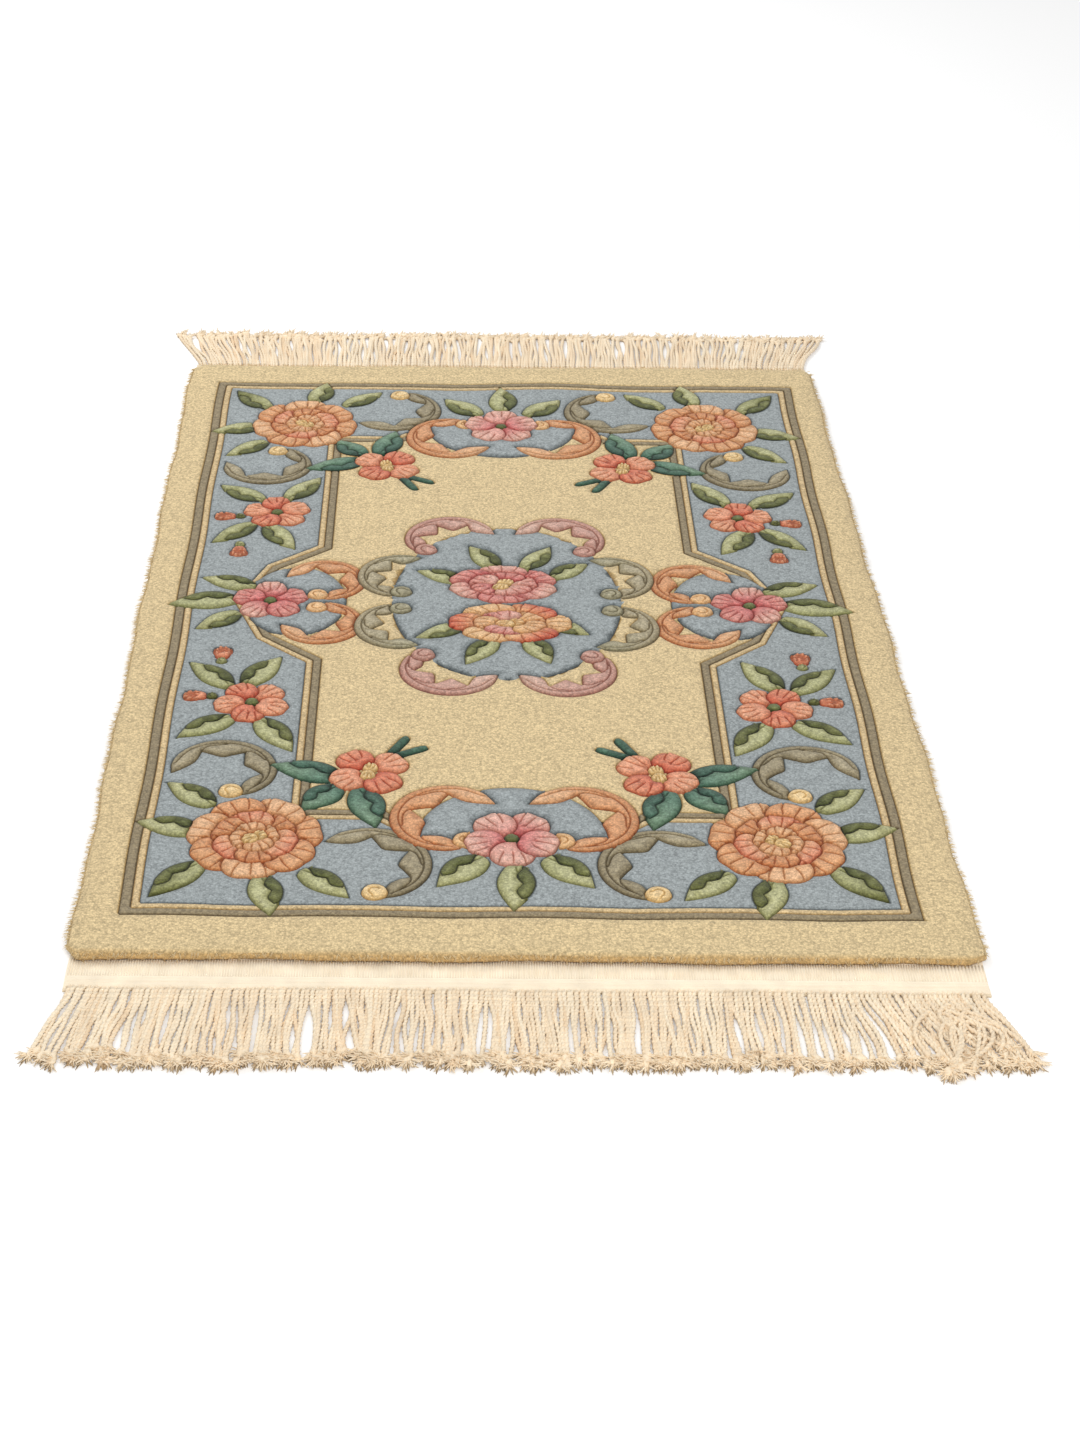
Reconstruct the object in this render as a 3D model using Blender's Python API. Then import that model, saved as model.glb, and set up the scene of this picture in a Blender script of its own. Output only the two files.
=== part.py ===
# A Chinese carved wool rug, lying flat, with a plain woven band and a knotted fringe at each end.
# Metres, +Z up, +Y from the front fringe to the back one, origin on the floor under its middle.
import math
import random

import bmesh
import bpy
from mathutils import Vector
from mathutils.geometry import delaunay_2d_cdt

HALF_WIDTH = 0.470        # half the width of the pile
HALF_LENGTH = 0.738       # half the length of the pile
CLOTH_HALF_WIDTH = 0.466  # the cotton cloth stays just inside the pile
CLOTH_FRONT = -0.783      # the plain band in front of the pile is wide
CLOTH_BACK = 0.752        # the one behind it is narrow
CLOTH_THICK = 0.003
GROUND_TOP = 0.0128       # the pile between the carved figures
PILE_ROUNDING = 0.0030    # how far the pile's upper edge is rounded off
CORNER = 0.012            # rounding of the pile's corners
EDGE_STEP = 0.062         # spacing of the points along the pile's uneven edge
PILE_SINK = 0.0015        # how far the pile runs down into the cloth before they are joined
SLOPE = 0.0035            # width of the carved slope round each figure
STRIPE_SLOPE = 0.4        # the slope on a stripe is at most this share of its width
DRIFT = (-0.008, 0.0085)  # the weaver's figures are centred this far off the rug's middle
MERGE = 0.0001            # points closer than this become one

# The pile's edge strays in two waves: height, turn for each metre along it, and share of the phase
EDGE_WAVES = ((0.0014, 19, 1.0), (0.0009, 47, 2.3))
FRONT_PHASE, RIGHT_PHASE, BACK_PHASE, LEFT_PHASE = 0.7, 2.1, 4.0, 5.2

# The right side runs askew, so that its border is wider at the front than at the back
ASKEW_MIDDLE = 0.0021
ASKEW_PER_METRE = -0.0136
ASKEW_FROM = 0.430
ASKEW_OVER = 0.036

# The back end isn't square either: it runs further back towards the right
PULL_FROM = 0.40
PULL_OVER = 0.338
PULL_MIDDLE = 0.007
PULL_SLOPE = 0.019

LEAF_TOP = 0.0146
SCROLL_TOP = 0.0149
STRIPE_TOP = 0.0147
FLOWER_TOP = 0.0152
LEAF_WIDTH = 0.034
LEAF_SLIMNESS = 0.5       # a short leaf is at most this share of its length wide
LEAF_SHAPE = ((0.0, 0.55), (0.28, 1.0), (0.62, 0.78), (1.0, 0.08))  # shares of length and half width
LEAF_CREST = 2.5          # a leaf's crest ends this many slopes short of its tip
PETAL_STEPS = 3
PETAL_SWELL = 0.13
SCROLL_STEPS = 7
SCROLL_END = 0.35         # width of a scroll's ends, as a share of its middle
SCROLL_END_SLOPE = 0.3
SHARPEST_TURN = 0.5

GAP = 0.0003              # left between two pieces that touch
STRIP_DEPTH = 0.0040
STRIP_TOP = 0.0036
STRANDS = 138             # in each fringe
STRAND_WIDTH = 0.0042
STRAND_TOP = 0.0038
ROOT_HEIGHT = 0.0006
STRAND_RUNS = ((0.0, 0.55), (0.16, 1.0), (0.86, 0.95), (1.0, 0.75))  # place along a cord, share of its width
LENGTH_WAVE = (0.045, 31)
LENGTH_STRAY = 0.02
BUNCH_WAVE = (0.0027, 23, 1.3)
SPLAY_POWER = 6           # only the outermost cords of a fringe lean outwards
BEND_POWER = 1.5
SEED = 11

BEIGE = (0.66, 0.53, 0.31, 1.0)
COTTON = (0.85, 0.72, 0.50, 1.0)

# Frames of the two stripes: half width, half length and width of the stripe
GUARD_STRIPES = (
    (0.4245, 0.6705, 0.0120),
    (0.4105, 0.6585, 0.0070),
)

# Field frame on one quarter, as points from the side cartouche to the end one
FIELD_FRAME = ((-0.3095, -0.093), (-0.245, -0.149), (-0.245, -0.478), (-0.162, -0.478), (-0.117, -0.527))
FIELD_STRIPE = 0.017

# Leaves on the front left quarter: tip x, tip y, base x, base y
QUARTER_LEAVES = (
    (-0.397, -0.416, -0.342, -0.463),
    (-0.423, -0.496, -0.353, -0.515),
    (-0.3955, -0.639, -0.346, -0.577),
    (-0.265, -0.6705, -0.280, -0.599),
    (-0.183, -0.6375, -0.236, -0.588),
    (-0.3955, -0.148, -0.342, -0.205),
    (-0.2836, -0.133, -0.324, -0.201),
    (-0.3955, -0.322, -0.335, -0.276),
    (-0.260, -0.350, -0.302, -0.280),
    (-0.2836, -0.377, -0.201, -0.405),
    (-0.243, -0.471, -0.203, -0.423),
    (-0.159, -0.504, -0.181, -0.427),
    (-0.122, -0.3075, -0.152, -0.364),
)

# Leaves that have no mirrored pair across the rug: tip x, tip y, base x, base y
END_LEAVES = (
    (-0.091, -0.6155, -0.049, -0.566),
    (-0.012, -0.658, -0.003, -0.581),
    (0.083, -0.6155, 0.041, -0.566),
)
SIDE_LEAVES = (
    (-0.399, 0.067, -0.328, 0.041),
    (-0.436, -0.005, -0.353, 0.012),
    (-0.397, -0.067, -0.346, -0.025),
)
MEDALLION_LEAVES = (
    (-0.056, 0.162, -0.020, 0.100),
    (0.052, 0.162, 0.016, 0.104),
    (0.100, 0.116, 0.052, 0.076),
    (-0.124, 0.092, -0.064, 0.064),
    (-0.124, -0.084, -0.064, -0.052),
    (0.096, -0.072, 0.048, -0.040),
    (-0.060, -0.148, -0.024, -0.088),
    (0.044, -0.144, 0.020, -0.084),
)

# Flowers on the front left quarter: centre x, centre y, half width, half length, number of petals
QUARTER_FLOWERS = (
    (-0.291, -0.525, 0.075, 0.081, 7),
    (-0.3137, -0.2404, 0.046, 0.046, 5),
    (-0.170, -0.390, 0.040, 0.034, 4),
    (-0.379, -0.227, 0.019, 0.022, 3),
    (-0.357, -0.128, 0.019, 0.024, 3),
)
END_FLOWERS = ((-0.009, -0.523, 0.055, 0.050, 5),)
SIDE_FLOWERS = ((-0.3075, 0.008, 0.047, 0.050, 5),)
MEDALLION_FLOWERS = (
    (-0.012, 0.059, 0.071, 0.046, 7),
    (-0.004, -0.043, 0.078, 0.048, 7),
)

# Curled scrolls: centre x, centre y, radius, start angle, end angle, greatest width
QUARTER_SCROLLS = (
    (-0.339, -0.392, 0.053, 185, -70, 0.030),
    (-0.170, -0.577, 0.060, 135, -75, 0.030),
    (-0.075, -0.485, 0.052, 30, 290, 0.028),
    (-0.245, 0.060, 0.042, 170, -95, 0.026),
)
MEDALLION_SCROLLS = (
    (-0.075, 0.175, 0.052, 20, 215, 0.034),
    (0.063, 0.175, 0.052, 160, -35, 0.034),
    (-0.075, -0.155, 0.050, 345, 150, 0.034),
    (0.060, -0.155, 0.050, 195, 390, 0.034),
    (-0.135, 0.075, 0.048, 70, 260, 0.034),
    (0.118, 0.075, 0.048, 110, -80, 0.034),
    (-0.135, -0.060, 0.048, 290, 100, 0.034),
    (0.118, -0.060, 0.048, 250, 440, 0.034),
)


def clear_scene():
    for obj in list(bpy.data.objects):
        bpy.data.objects.remove(obj, do_unlink=True)


def new_collection(name):
    collection = bpy.data.collections.new(name)
    bpy.context.scene.collection.children.link(collection)
    return collection


def make_material(name, colour, roughness):
    material = bpy.data.materials.new(name)
    material.use_nodes = True
    shader = material.node_tree.nodes["Principled BSDF"]
    shader.inputs["Base Color"].default_value = colour
    shader.inputs["Roughness"].default_value = roughness
    shader.inputs["Metallic"].default_value = 0.0
    return material


def new_object(name, shape, collection):
    """An object from a finished bmesh, with its faces turned outwards."""
    bmesh.ops.recalc_face_normals(shape, faces=shape.faces)
    mesh = bpy.data.meshes.new(name)
    shape.to_mesh(mesh)
    shape.free()
    obj = bpy.data.objects.new(name, mesh)
    collection.objects.link(obj)
    return obj


def make_box(name, low, high, collection):
    shape = bmesh.new()
    bmesh.ops.create_cube(shape, size=1.0)
    size = Vector(high) - Vector(low)
    bmesh.ops.scale(shape, vec=size, verts=shape.verts)
    bmesh.ops.translate(shape, vec=(Vector(low) + Vector(high)) / 2, verts=shape.verts)
    return new_object(name, shape, collection)


def join_to(target, tool):
    """Boolean union of a hidden shape with the target."""
    tool.hide_render = True
    tool.display_type = "WIRE"
    union = target.modifiers.new(tool.name, "BOOLEAN")
    union.operation = "UNION"
    union.solver = "EXACT"
    union.object = tool


def edge_wave(place, phase):
    """Unevenness of the pile's edge at a place along it."""
    return sum(height * math.sin(rate * place + share * phase) for height, rate, share in EDGE_WAVES)


def pile_outline(inset=0.0):
    """Points round the pile, each side slightly wavy, its corners cut off."""
    half_width, half_length = HALF_WIDTH - inset, HALF_LENGTH - inset
    run_across, run_along = HALF_WIDTH - CORNER, HALF_LENGTH - CORNER
    points = []
    steps = round(2 * run_across / EDGE_STEP)
    for i in range(steps + 1):
        x = run_across * (2 * i / steps - 1)
        points.append((x, -half_length + edge_wave(x, FRONT_PHASE)))
    steps = round(2 * run_along / EDGE_STEP)
    for i in range(steps + 1):
        y = run_along * (2 * i / steps - 1)
        points.append((half_width + edge_wave(y, RIGHT_PHASE), y))
    steps = round(2 * run_across / EDGE_STEP)
    for i in range(steps + 1):
        x = run_across * (1 - 2 * i / steps)
        points.append((x, half_length + edge_wave(x, BACK_PHASE)))
    steps = round(2 * run_along / EDGE_STEP)
    for i in range(steps + 1):
        y = run_along * (1 - 2 * i / steps)
        points.append((-half_width + edge_wave(y, LEFT_PHASE), y))
    return points


def rectangle(half_width, half_length):
    return [(-half_width, -half_length), (half_width, -half_length),
            (half_width, half_length), (-half_width, half_length)]


def across(point):
    """The same place on the other side of the rug's length."""
    return (2 * DRIFT[0] * (1 - abs(point[0]) / HALF_WIDTH) - point[0], point[1])


def along(point):
    """The same place at the other end of the rug."""
    return (point[0], 2 * DRIFT[1] * (1 - abs(point[1]) / HALF_LENGTH) - point[1])


def leaf(inset, tip_x, tip_y, base_x, base_y):
    """A pointed leaf, widest a third of the way from its base."""
    run = (tip_x - base_x, tip_y - base_y)
    length = math.hypot(*run)
    ahead = (run[0] / length, run[1] / length)
    side = (-ahead[1], ahead[0])
    half = min(LEAF_WIDTH, LEAF_SLIMNESS * length) / 2 - inset
    left = [(inset + s * (length - LEAF_CREST * inset), half * w) for s, w in LEAF_SHAPE]
    right = [(s, -w) for s, w in reversed(left)]
    return [(base_x + ahead[0] * s + side[0] * w, base_y + ahead[1] * s + side[1] * w)
            for s, w in left + right]


def flower(inset, x, y, half_width, half_length, petals):
    """A bloom whose rim swells out at each petal."""
    steps = petals * PETAL_STEPS
    points = []
    for i in range(steps):
        turn = 2 * math.pi * (i + 0.5) / steps
        swell = 1 - PETAL_SWELL * (1 - abs(math.sin(petals * turn / 2)))
        points.append((x + (half_width * swell - inset) * math.cos(turn),
                       y + (half_length * swell - inset) * math.sin(turn)))
    return points


def scroll(inset, x, y, radius, start, end, width):
    """A curled band, widest in its middle and narrow at both ends."""
    outer, inner = [], []
    for i in range(SCROLL_STEPS + 1):
        t = i / SCROLL_STEPS
        turn = math.radians(start + (end - start) * t)
        full = math.sin(math.pi * t)
        half = (width / 2 * (SCROLL_END + (1 - SCROLL_END) * full)
                - inset * (SCROLL_END_SLOPE + (1 - SCROLL_END_SLOPE) * full))
        outer.append((x + (radius + half) * math.cos(turn), y + (radius + half) * math.sin(turn)))
        inner.append((x + (radius - half) * math.cos(turn), y + (radius - half) * math.sin(turn)))
    return outer + inner[::-1]


def ribbon(inset, path, width):
    """A stripe of even width along a path of points, with mitred turns."""
    left, right = [], []
    for i, (x, y) in enumerate(path):
        back = path[max(i - 1, 0)]
        front = path[min(i + 1, len(path) - 1)]
        first = math.atan2(y - back[1], x - back[0]) if i else math.atan2(front[1] - y, front[0] - x)
        second = math.atan2(front[1] - y, front[0] - x) if i < len(path) - 1 else first
        turn = (first + second) / 2
        reach = (width / 2 - inset) / max(math.cos((second - first) / 2), SHARPEST_TURN)
        left.append((x - reach * math.sin(turn), y + reach * math.cos(turn)))
        right.append((x + reach * math.sin(turn), y - reach * math.cos(turn)))
    return left + right[::-1]


def copies_of(rows, shape, top, flips):
    """Figures as foot loops, crest loops and height, with their mirrored copies."""
    figures = []
    for row in rows:
        foot, crest = shape(0.0, *row), shape(SLOPE, *row)
        for flip in flips:
            figures.append(([[flip(p) for p in foot]], [[flip(p) for p in crest]], top))
    return figures


def all_figures():
    """Every carved figure of the rug, in the heights that the carver leaves them."""
    as_is = (lambda p: p,)
    quarters = (lambda p: p, across, along, lambda p: across(along(p)))
    ends = (lambda p: p, along)
    sides = (lambda p: p, across)
    figures = []
    for half_width, half_length, width in GUARD_STRIPES:
        foot = [rectangle(half_width, half_length), rectangle(half_width - width, half_length - width)]
        edge = min(SLOPE, STRIPE_SLOPE * width)
        crest = [rectangle(half_width - edge, half_length - edge),
                 rectangle(half_width - width + edge, half_length - width + edge)]
        figures.append((foot, crest, STRIPE_TOP))
    figures += copies_of([(FIELD_FRAME, FIELD_STRIPE)], ribbon, STRIPE_TOP, quarters)
    figures += copies_of(QUARTER_SCROLLS, scroll, SCROLL_TOP, quarters)
    figures += copies_of(MEDALLION_SCROLLS, scroll, SCROLL_TOP, as_is)
    figures += copies_of(QUARTER_LEAVES, leaf, LEAF_TOP, quarters)
    figures += copies_of(END_LEAVES, leaf, LEAF_TOP, ends)
    figures += copies_of(SIDE_LEAVES, leaf, LEAF_TOP, sides)
    figures += copies_of(MEDALLION_LEAVES, leaf, LEAF_TOP, as_is)
    figures += copies_of(QUARTER_FLOWERS, flower, FLOWER_TOP, quarters)
    figures += copies_of(END_FLOWERS, flower, FLOWER_TOP, ends)
    figures += copies_of(SIDE_FLOWERS, flower, FLOWER_TOP, sides)
    figures += copies_of(MEDALLION_FLOWERS, flower, FLOWER_TOP, as_is)
    return figures


def depth_inside(x, y, loops):
    """How far a place lies inside a figure's foot, or 0 outside it."""
    inside = False
    nearest = SLOPE
    for loop in loops:
        for (ax, ay), (bx, by) in zip(loop, loop[1:] + loop[:1]):
            if (ay > y) != (by > y) and x < ax + (y - ay) * (bx - ax) / (by - ay):
                inside = not inside
            dx, dy = bx - ax, by - ay
            t = max(0.0, min(1.0, ((x - ax) * dx + (y - ay) * dy) / (dx * dx + dy * dy)))
            nearest = min(nearest, math.hypot(ax + t * dx - x, ay + t * dy - y))
    return nearest if inside else 0.0


def spans_of(figures):
    """Each figure with the lowest and highest corners of its foot."""
    spans = []
    for foot, crest, top in figures:
        xs = [x for loop in foot for x, y in loop]
        ys = [y for loop in foot for x, y in loop]
        spans.append((min(xs), max(xs), min(ys), max(ys), foot, top))
    return spans


def pile_height(x, y, spans):
    height = GROUND_TOP
    for left, right, near, far, foot, top in spans:
        if top > height and left < x < right and near < y < far:
            rise = (top - GROUND_TOP) * depth_inside(x, y, foot) / SLOPE
            height = max(height, GROUND_TOP + rise)
    return height


def make_pile(collection):
    """The wool pile: a slab with wavy sides and a rounded rim, its figures raised on top."""
    figures = all_figures()
    rim = pile_outline(PILE_ROUNDING)
    loops = [rim]
    for foot, crest, top in figures:
        loops += foot + crest
    points, edges = [], []
    for loop in loops:
        first = len(points)
        points += [Vector(point) for point in loop]
        edges += [(first + i, first + (i + 1) % len(loop)) for i in range(len(loop))]
    places, _, triangles, origins, _, _ = delaunay_2d_cdt(points, edges, [], 0, MERGE)
    spans = spans_of(figures)
    shape = bmesh.new()
    top_points = [shape.verts.new((p.x, p.y, pile_height(p.x, p.y, spans))) for p in places]
    for triangle in triangles:
        shape.faces.new([top_points[i] for i in triangle])
    found = {origin: i for i, group in enumerate(origins) for origin in group}
    ring = [top_points[found[i]] for i in range(len(rim))]
    for vert in ring:
        vert.co.z = GROUND_TOP
    trim_outside(shape, rim)
    outline = pile_outline()
    for height in (GROUND_TOP - PILE_ROUNDING, CLOTH_THICK - PILE_SINK):
        lower = [shape.verts.new((x, y, height)) for x, y in outline]
        for i in range(len(ring)):
            j = (i + 1) % len(ring)
            shape.faces.new((ring[i], ring[j], lower[j], lower[i]))
        ring = lower
    shape.faces.new(ring)
    return new_object("pile", shape, collection)


def trim_outside(shape, rim):
    """Take away the triangles that span the rim's hollows outside the pile."""
    outside = [face for face in shape.faces if not is_inside(face.calc_center_median(), rim)]
    bmesh.ops.delete(shape, geom=outside, context="FACES_ONLY")


def is_inside(point, loop):
    inside = False
    for (ax, ay), (bx, by) in zip(loop, loop[1:] + loop[:1]):
        if (ay > point.y) != (by > point.y) and point.x < ax + (point.y - ay) * (bx - ax) / (by - ay):
            inside = not inside
    return inside


def make_body(parts, tools):
    """Cotton cloth with its two plain ends, and the carved pile, as one solid."""
    body = make_box("rug_body", (-CLOTH_HALF_WIDTH, CLOTH_FRONT, 0.0),
                    (CLOTH_HALF_WIDTH, CLOTH_BACK, CLOTH_THICK), parts)
    join_to(body, make_pile(tools))
    return body


def strand_route(place, end, dice):
    """One cord of the fringe: places along it on the floor, with its width there."""
    x = place * (CLOTH_HALF_WIDTH - STRAND_WIDTH)
    out = math.copysign(1, end["root"])
    high, rate = LENGTH_WAVE
    length = end["reach"] * (1 + high * math.sin(rate * place) + dice.uniform(-LENGTH_STRAY, LENGTH_STRAY))
    spread = math.copysign(end["splay"] * abs(place) ** SPLAY_POWER, place)
    high, rate, phase = BUNCH_WAVE
    bunch = high * math.sin(rate * place + phase)
    route = []
    for run, width in STRAND_RUNS:
        side = spread * run ** BEND_POWER + bunch * math.sin(math.pi * run)
        start, lift = (STRIP_DEPTH / 2, ROOT_HEIGHT) if run == 0 else (STRIP_DEPTH, 0.0)
        route.append((x + side, end["root"] + out * (start + length * run), lift, width))
    return route


def make_strands(name, end, collection):
    """Three-sided cords lying level on the floor, all in one curve made a mesh."""
    dice = random.Random(SEED)
    profile = bpy.data.curves.new("cord_profile", "CURVE")
    profile.dimensions = "2D"
    sides = profile.splines.new("POLY")
    sides.points.add(2)
    corners = ((-STRAND_WIDTH / 2, 0.0), (STRAND_WIDTH / 2, 0.0), (0.0, STRAND_TOP))
    for point, (x, y) in zip(sides.points, corners):
        point.co = (x, y, 0.0, 1.0)
    sides.use_cyclic_u = True
    section = bpy.data.objects.new("cord_section", profile)
    bpy.context.scene.collection.objects.link(section)
    curve = bpy.data.curves.new(name, "CURVE")
    curve.dimensions = "3D"
    curve.twist_mode = "Z_UP"
    curve.bevel_mode = "OBJECT"
    curve.bevel_object = section
    curve.use_fill_caps = True
    for number in range(STRANDS):
        route = strand_route(2 * (number + 0.5) / STRANDS - 1, end, dice)
        spline = curve.splines.new("POLY")
        spline.points.add(len(route) - 1)
        for point, (x, y, z, width) in zip(spline.points, route):
            point.co = (x, y, z, 1.0)
            point.radius = width
    cords = bpy.data.objects.new(name, curve)
    bpy.context.scene.collection.objects.link(cords)
    bpy.context.view_layer.update()
    mesh = bpy.data.meshes.new_from_object(cords.evaluated_get(bpy.context.evaluated_depsgraph_get()))
    shape = bmesh.new()
    shape.from_mesh(mesh)
    bmesh.ops.remove_doubles(shape, verts=shape.verts, dist=MERGE / 2)
    for obj in (cords, section):
        bpy.data.objects.remove(obj, do_unlink=True)
    return new_object(name, shape, collection)


def make_fringe(name, end, parts, tools):
    """A narrow stitched root strip with the knotted warp cords standing out of it."""
    near, far = sorted((end["root"], end["root"] + math.copysign(STRIP_DEPTH, end["root"])))
    fringe = make_box(name, (-CLOTH_HALF_WIDTH, near, 0.0), (CLOTH_HALF_WIDTH, far, STRIP_TOP), parts)
    join_to(fringe, make_strands(name + "_cords", end, tools))
    return fringe


FRONT_END = {"root": CLOTH_FRONT - GAP, "reach": 0.119, "splay": 0.022}
BACK_END = {"root": CLOTH_BACK + GAP, "reach": 0.119, "splay": 0.044}


def run_askew(objects):
    """Widen the right border towards the front, and pull the back end out, as the weaver left it."""
    for obj in objects:
        for vert in obj.data.vertices:
            x, y = vert.co.x, max(CLOTH_FRONT, min(CLOTH_BACK, vert.co.y))
            share = max(0.0, min(1.0, (x - ASKEW_FROM) / ASKEW_OVER))
            vert.co.x += share * (ASKEW_MIDDLE + ASKEW_PER_METRE * y)
            share = max(0.0, min(1.0, (y - PULL_FROM) / PULL_OVER))
            vert.co.y += share * (PULL_MIDDLE + PULL_SLOPE * x)


def centre_on_floor(parts, tools):
    """Stand everything on an empty that brings the middle of the whole rug over the origin."""
    bpy.context.view_layer.update()
    graph = bpy.context.evaluated_depsgraph_get()
    places = [vert.co.copy() for obj in parts.objects for vert in obj.evaluated_get(graph).data.vertices]
    middle = [(min(p[i] for p in places) + max(p[i] for p in places)) / 2 for i in range(2)]
    base = bpy.data.objects.new("rug_base", None)
    bpy.context.scene.collection.objects.link(base)
    for obj in list(parts.objects) + list(tools.objects):
        obj.parent = base
    base.location = (-middle[0], -middle[1], 0.0)


def main():
    clear_scene()
    parts = new_collection("chinese_rug")
    tools = new_collection("shapes_to_join")
    body = make_body(parts, tools)
    body.data.materials.append(make_material("wool_pile", BEIGE, 0.95))
    cotton = make_material("cotton_cord", COTTON, 0.9)
    for name, end in (("fringe_front", FRONT_END), ("fringe_back", BACK_END)):
        make_fringe(name, end, parts, tools).data.materials.append(cotton)
    run_askew(list(parts.objects) + list(tools.objects))
    centre_on_floor(parts, tools)


main()
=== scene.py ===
import math
import random

import bpy
import numpy as np
from mathutils import Matrix, Vector, kdtree
from mathutils.geometry import delaunay_2d_cdt


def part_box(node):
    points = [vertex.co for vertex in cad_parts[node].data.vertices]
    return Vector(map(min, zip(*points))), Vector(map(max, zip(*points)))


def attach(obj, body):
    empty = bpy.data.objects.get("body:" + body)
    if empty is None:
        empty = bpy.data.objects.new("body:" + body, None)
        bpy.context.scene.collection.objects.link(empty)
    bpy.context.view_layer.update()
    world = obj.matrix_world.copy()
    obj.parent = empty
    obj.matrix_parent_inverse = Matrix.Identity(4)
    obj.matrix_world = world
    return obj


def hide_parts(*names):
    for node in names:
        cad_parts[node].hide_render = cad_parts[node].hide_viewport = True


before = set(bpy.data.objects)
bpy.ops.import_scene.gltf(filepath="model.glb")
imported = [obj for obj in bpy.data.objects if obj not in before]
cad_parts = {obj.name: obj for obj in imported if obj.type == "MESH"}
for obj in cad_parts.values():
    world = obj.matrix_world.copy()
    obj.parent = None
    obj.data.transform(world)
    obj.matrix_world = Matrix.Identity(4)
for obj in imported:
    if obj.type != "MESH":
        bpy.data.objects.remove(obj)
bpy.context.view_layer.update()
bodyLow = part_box("rug_body")[0]
mm = 0.001

# Everything on the rug is drawn from its own middle, front towards -Y, and moved by rugMiddle at the end.
rug = {"halfWidth": 0.470, "halfLength": 0.738, "clothHalfWidth": 0.466, "clothFront": -0.783,
       "clothBack": 0.752,
       "driftX": -0.008, "driftY": 0.0085}

# Wool and cotton colours, as screen colours from 0 to 255
dyes = {
    # the second colour here is the shade colour painted on the pile's left and right sides
    "beige": (224, 200, 153), "shadedSideBeige": (205, 180, 130), "stripeBeige": (222, 196, 150),
    "stripeGrey": (156, 141, 112),
    "blue": (160, 167, 168), "blueDeep": (140, 149, 151),
    "oliveDark": (98, 104, 60), "olive": (136, 138, 86), "oliveLight": (198, 196, 150),
    "sage": (184, 184, 137),
    "tealDark": (72, 101, 88), "teal": (98, 132, 113), "tealLight": (134, 160, 134),
    "coral": (232, 158, 126), "coralDeep": (218, 122, 96), "coralLight": (242, 182, 148),
    "roseBase": (218, 154, 110), "rose": (231, 176, 130), "roseLight": (240, 194, 152),
    "cream": (248, 218, 166), "peach": (243, 202, 154), "orange": (235, 188, 146),
    "orangeDeep": (222, 164, 120),
    "pink": (228, 162, 150), "pinkDeep": (213, 122, 120), "pinkLight": (237, 192, 175),
    "mauve": (224, 188, 170), "mauveDeep": (211, 167, 152), "lichen": (178, 171, 143),
    "lichenLight": (216, 204, 164),
    "scrollGrey": (184, 172, 143), "scrollGreyDeep": (166, 154, 126), "button": (130, 136, 88),
    # the first colour here is the shade colour painted on the pile's front and back sides and on the front
    # strip of its top
    "shadedPileSide": (206, 172, 118), "cottonPale": (251, 234, 206), "cottonDark": (230, 194, 150),
    "clothPale": (250, 236, 212), "clothDark": (230, 212, 182),
}


# Screen colour to the renderer's linear one
def dye(name):
    return np.array([((c / 255 + 0.055) / 1.055) ** 2.4 for c in dyes[name]])


# The pattern: figures in the order they lie on each other, and creases cut into them
figures = []
creases = []
drawing = {"step": 0.0031}


# Soft curve through points in metres; a third value of 1 keeps a point sharp
def smoothPath(points, closed):
    pts = [np.array(p[:2], float) for p in points]
    sharp = [len(p) > 2 and p[2] == 1 for p in points]
    count = len(pts)
    runs = count if closed else count - 1
    path, section = [], [pts[0]]
    for i in range(runs):
        a, b = pts[i], pts[(i + 1) % count]
        startFree = sharp[i] or (not closed and i == 0)
        endFree = sharp[(i + 1) % count] or (not closed and i == runs - 1)
        before = 2 * a - b if startFree else pts[i - 1]
        after = 2 * b - a if endFree else pts[(i + 2) % count]
        for k in range(1, 9):
            t = k / 8
            section.append(0.5 * (2 * a + (b - before) * t + (2 * before - 5 * a + 4 * b - after) * t * t
                                  + (3 * a - before - 3 * b + after) * t ** 3))
        if endFree or i == runs - 1:
            path += evenSteps(section)[:-1]
            section = [b]
    if not closed:
        path.append(section[0])
    return np.array(path)


# The same run of a curve, cut into steps of even length
def evenSteps(section):
    line = np.array(section)
    gaps = np.hypot(*np.diff(line, axis=0).T)
    along = np.concatenate([[0], np.cumsum(gaps)])
    steps = max(1, round(along[-1] / drawing["step"]))
    at = np.linspace(0, along[-1], steps + 1)
    return [np.array((np.interp(s, along, line[:, 0]), np.interp(s, along, line[:, 1]))) for s in at]


# Points drawn in millimetres round a figure's centre, as places on the rug
def chart(points, centre, turn=0.0, size=1.0, mirror=1):
    c, s = math.cos(turn), math.sin(turn)
    out = []
    for p in points:
        x, y = p[0] * mirror * size * mm, p[1] * size * mm
        out.append((centre[0] + c * x - s * y, centre[1] + s * x + c * y) + tuple(p[2:]))
    return out


# One patch of pile; its colour runs from yarnA to yarnB along axis
def figure(points, yarnA, yarnB=None, axis=None, rise=0.0, depth=1.0, closed=True):
    return {"loop": smoothPath(points, True) if closed else np.array(points), "from": yarnA,
            "to": yarnB or yarnA,
            "axis": axis, "rise": rise, "depth": depth}


def crease(points, depth=0.55):
    return {"path": smoothPath(points, False), "depth": depth}


def asIs(points):
    return points


# The same place on the other side of the rug
def across(points):
    out = points.copy()
    out[:, 0] = 2 * rug["driftX"] * (1 - np.abs(points[:, 0]) / rug["halfWidth"]) - points[:, 0]
    return out


# The same place at the rug's other end
def along(points):
    out = points.copy()
    out[:, 1] = 2 * rug["driftY"] * (1 - np.abs(points[:, 1]) / rug["halfLength"]) - points[:, 1]
    return out


def both(points):
    return across(along(points))


quarters = (asIs, across, along, both)
ends = (asIs, along)
sides = (asIs, across)


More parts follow.
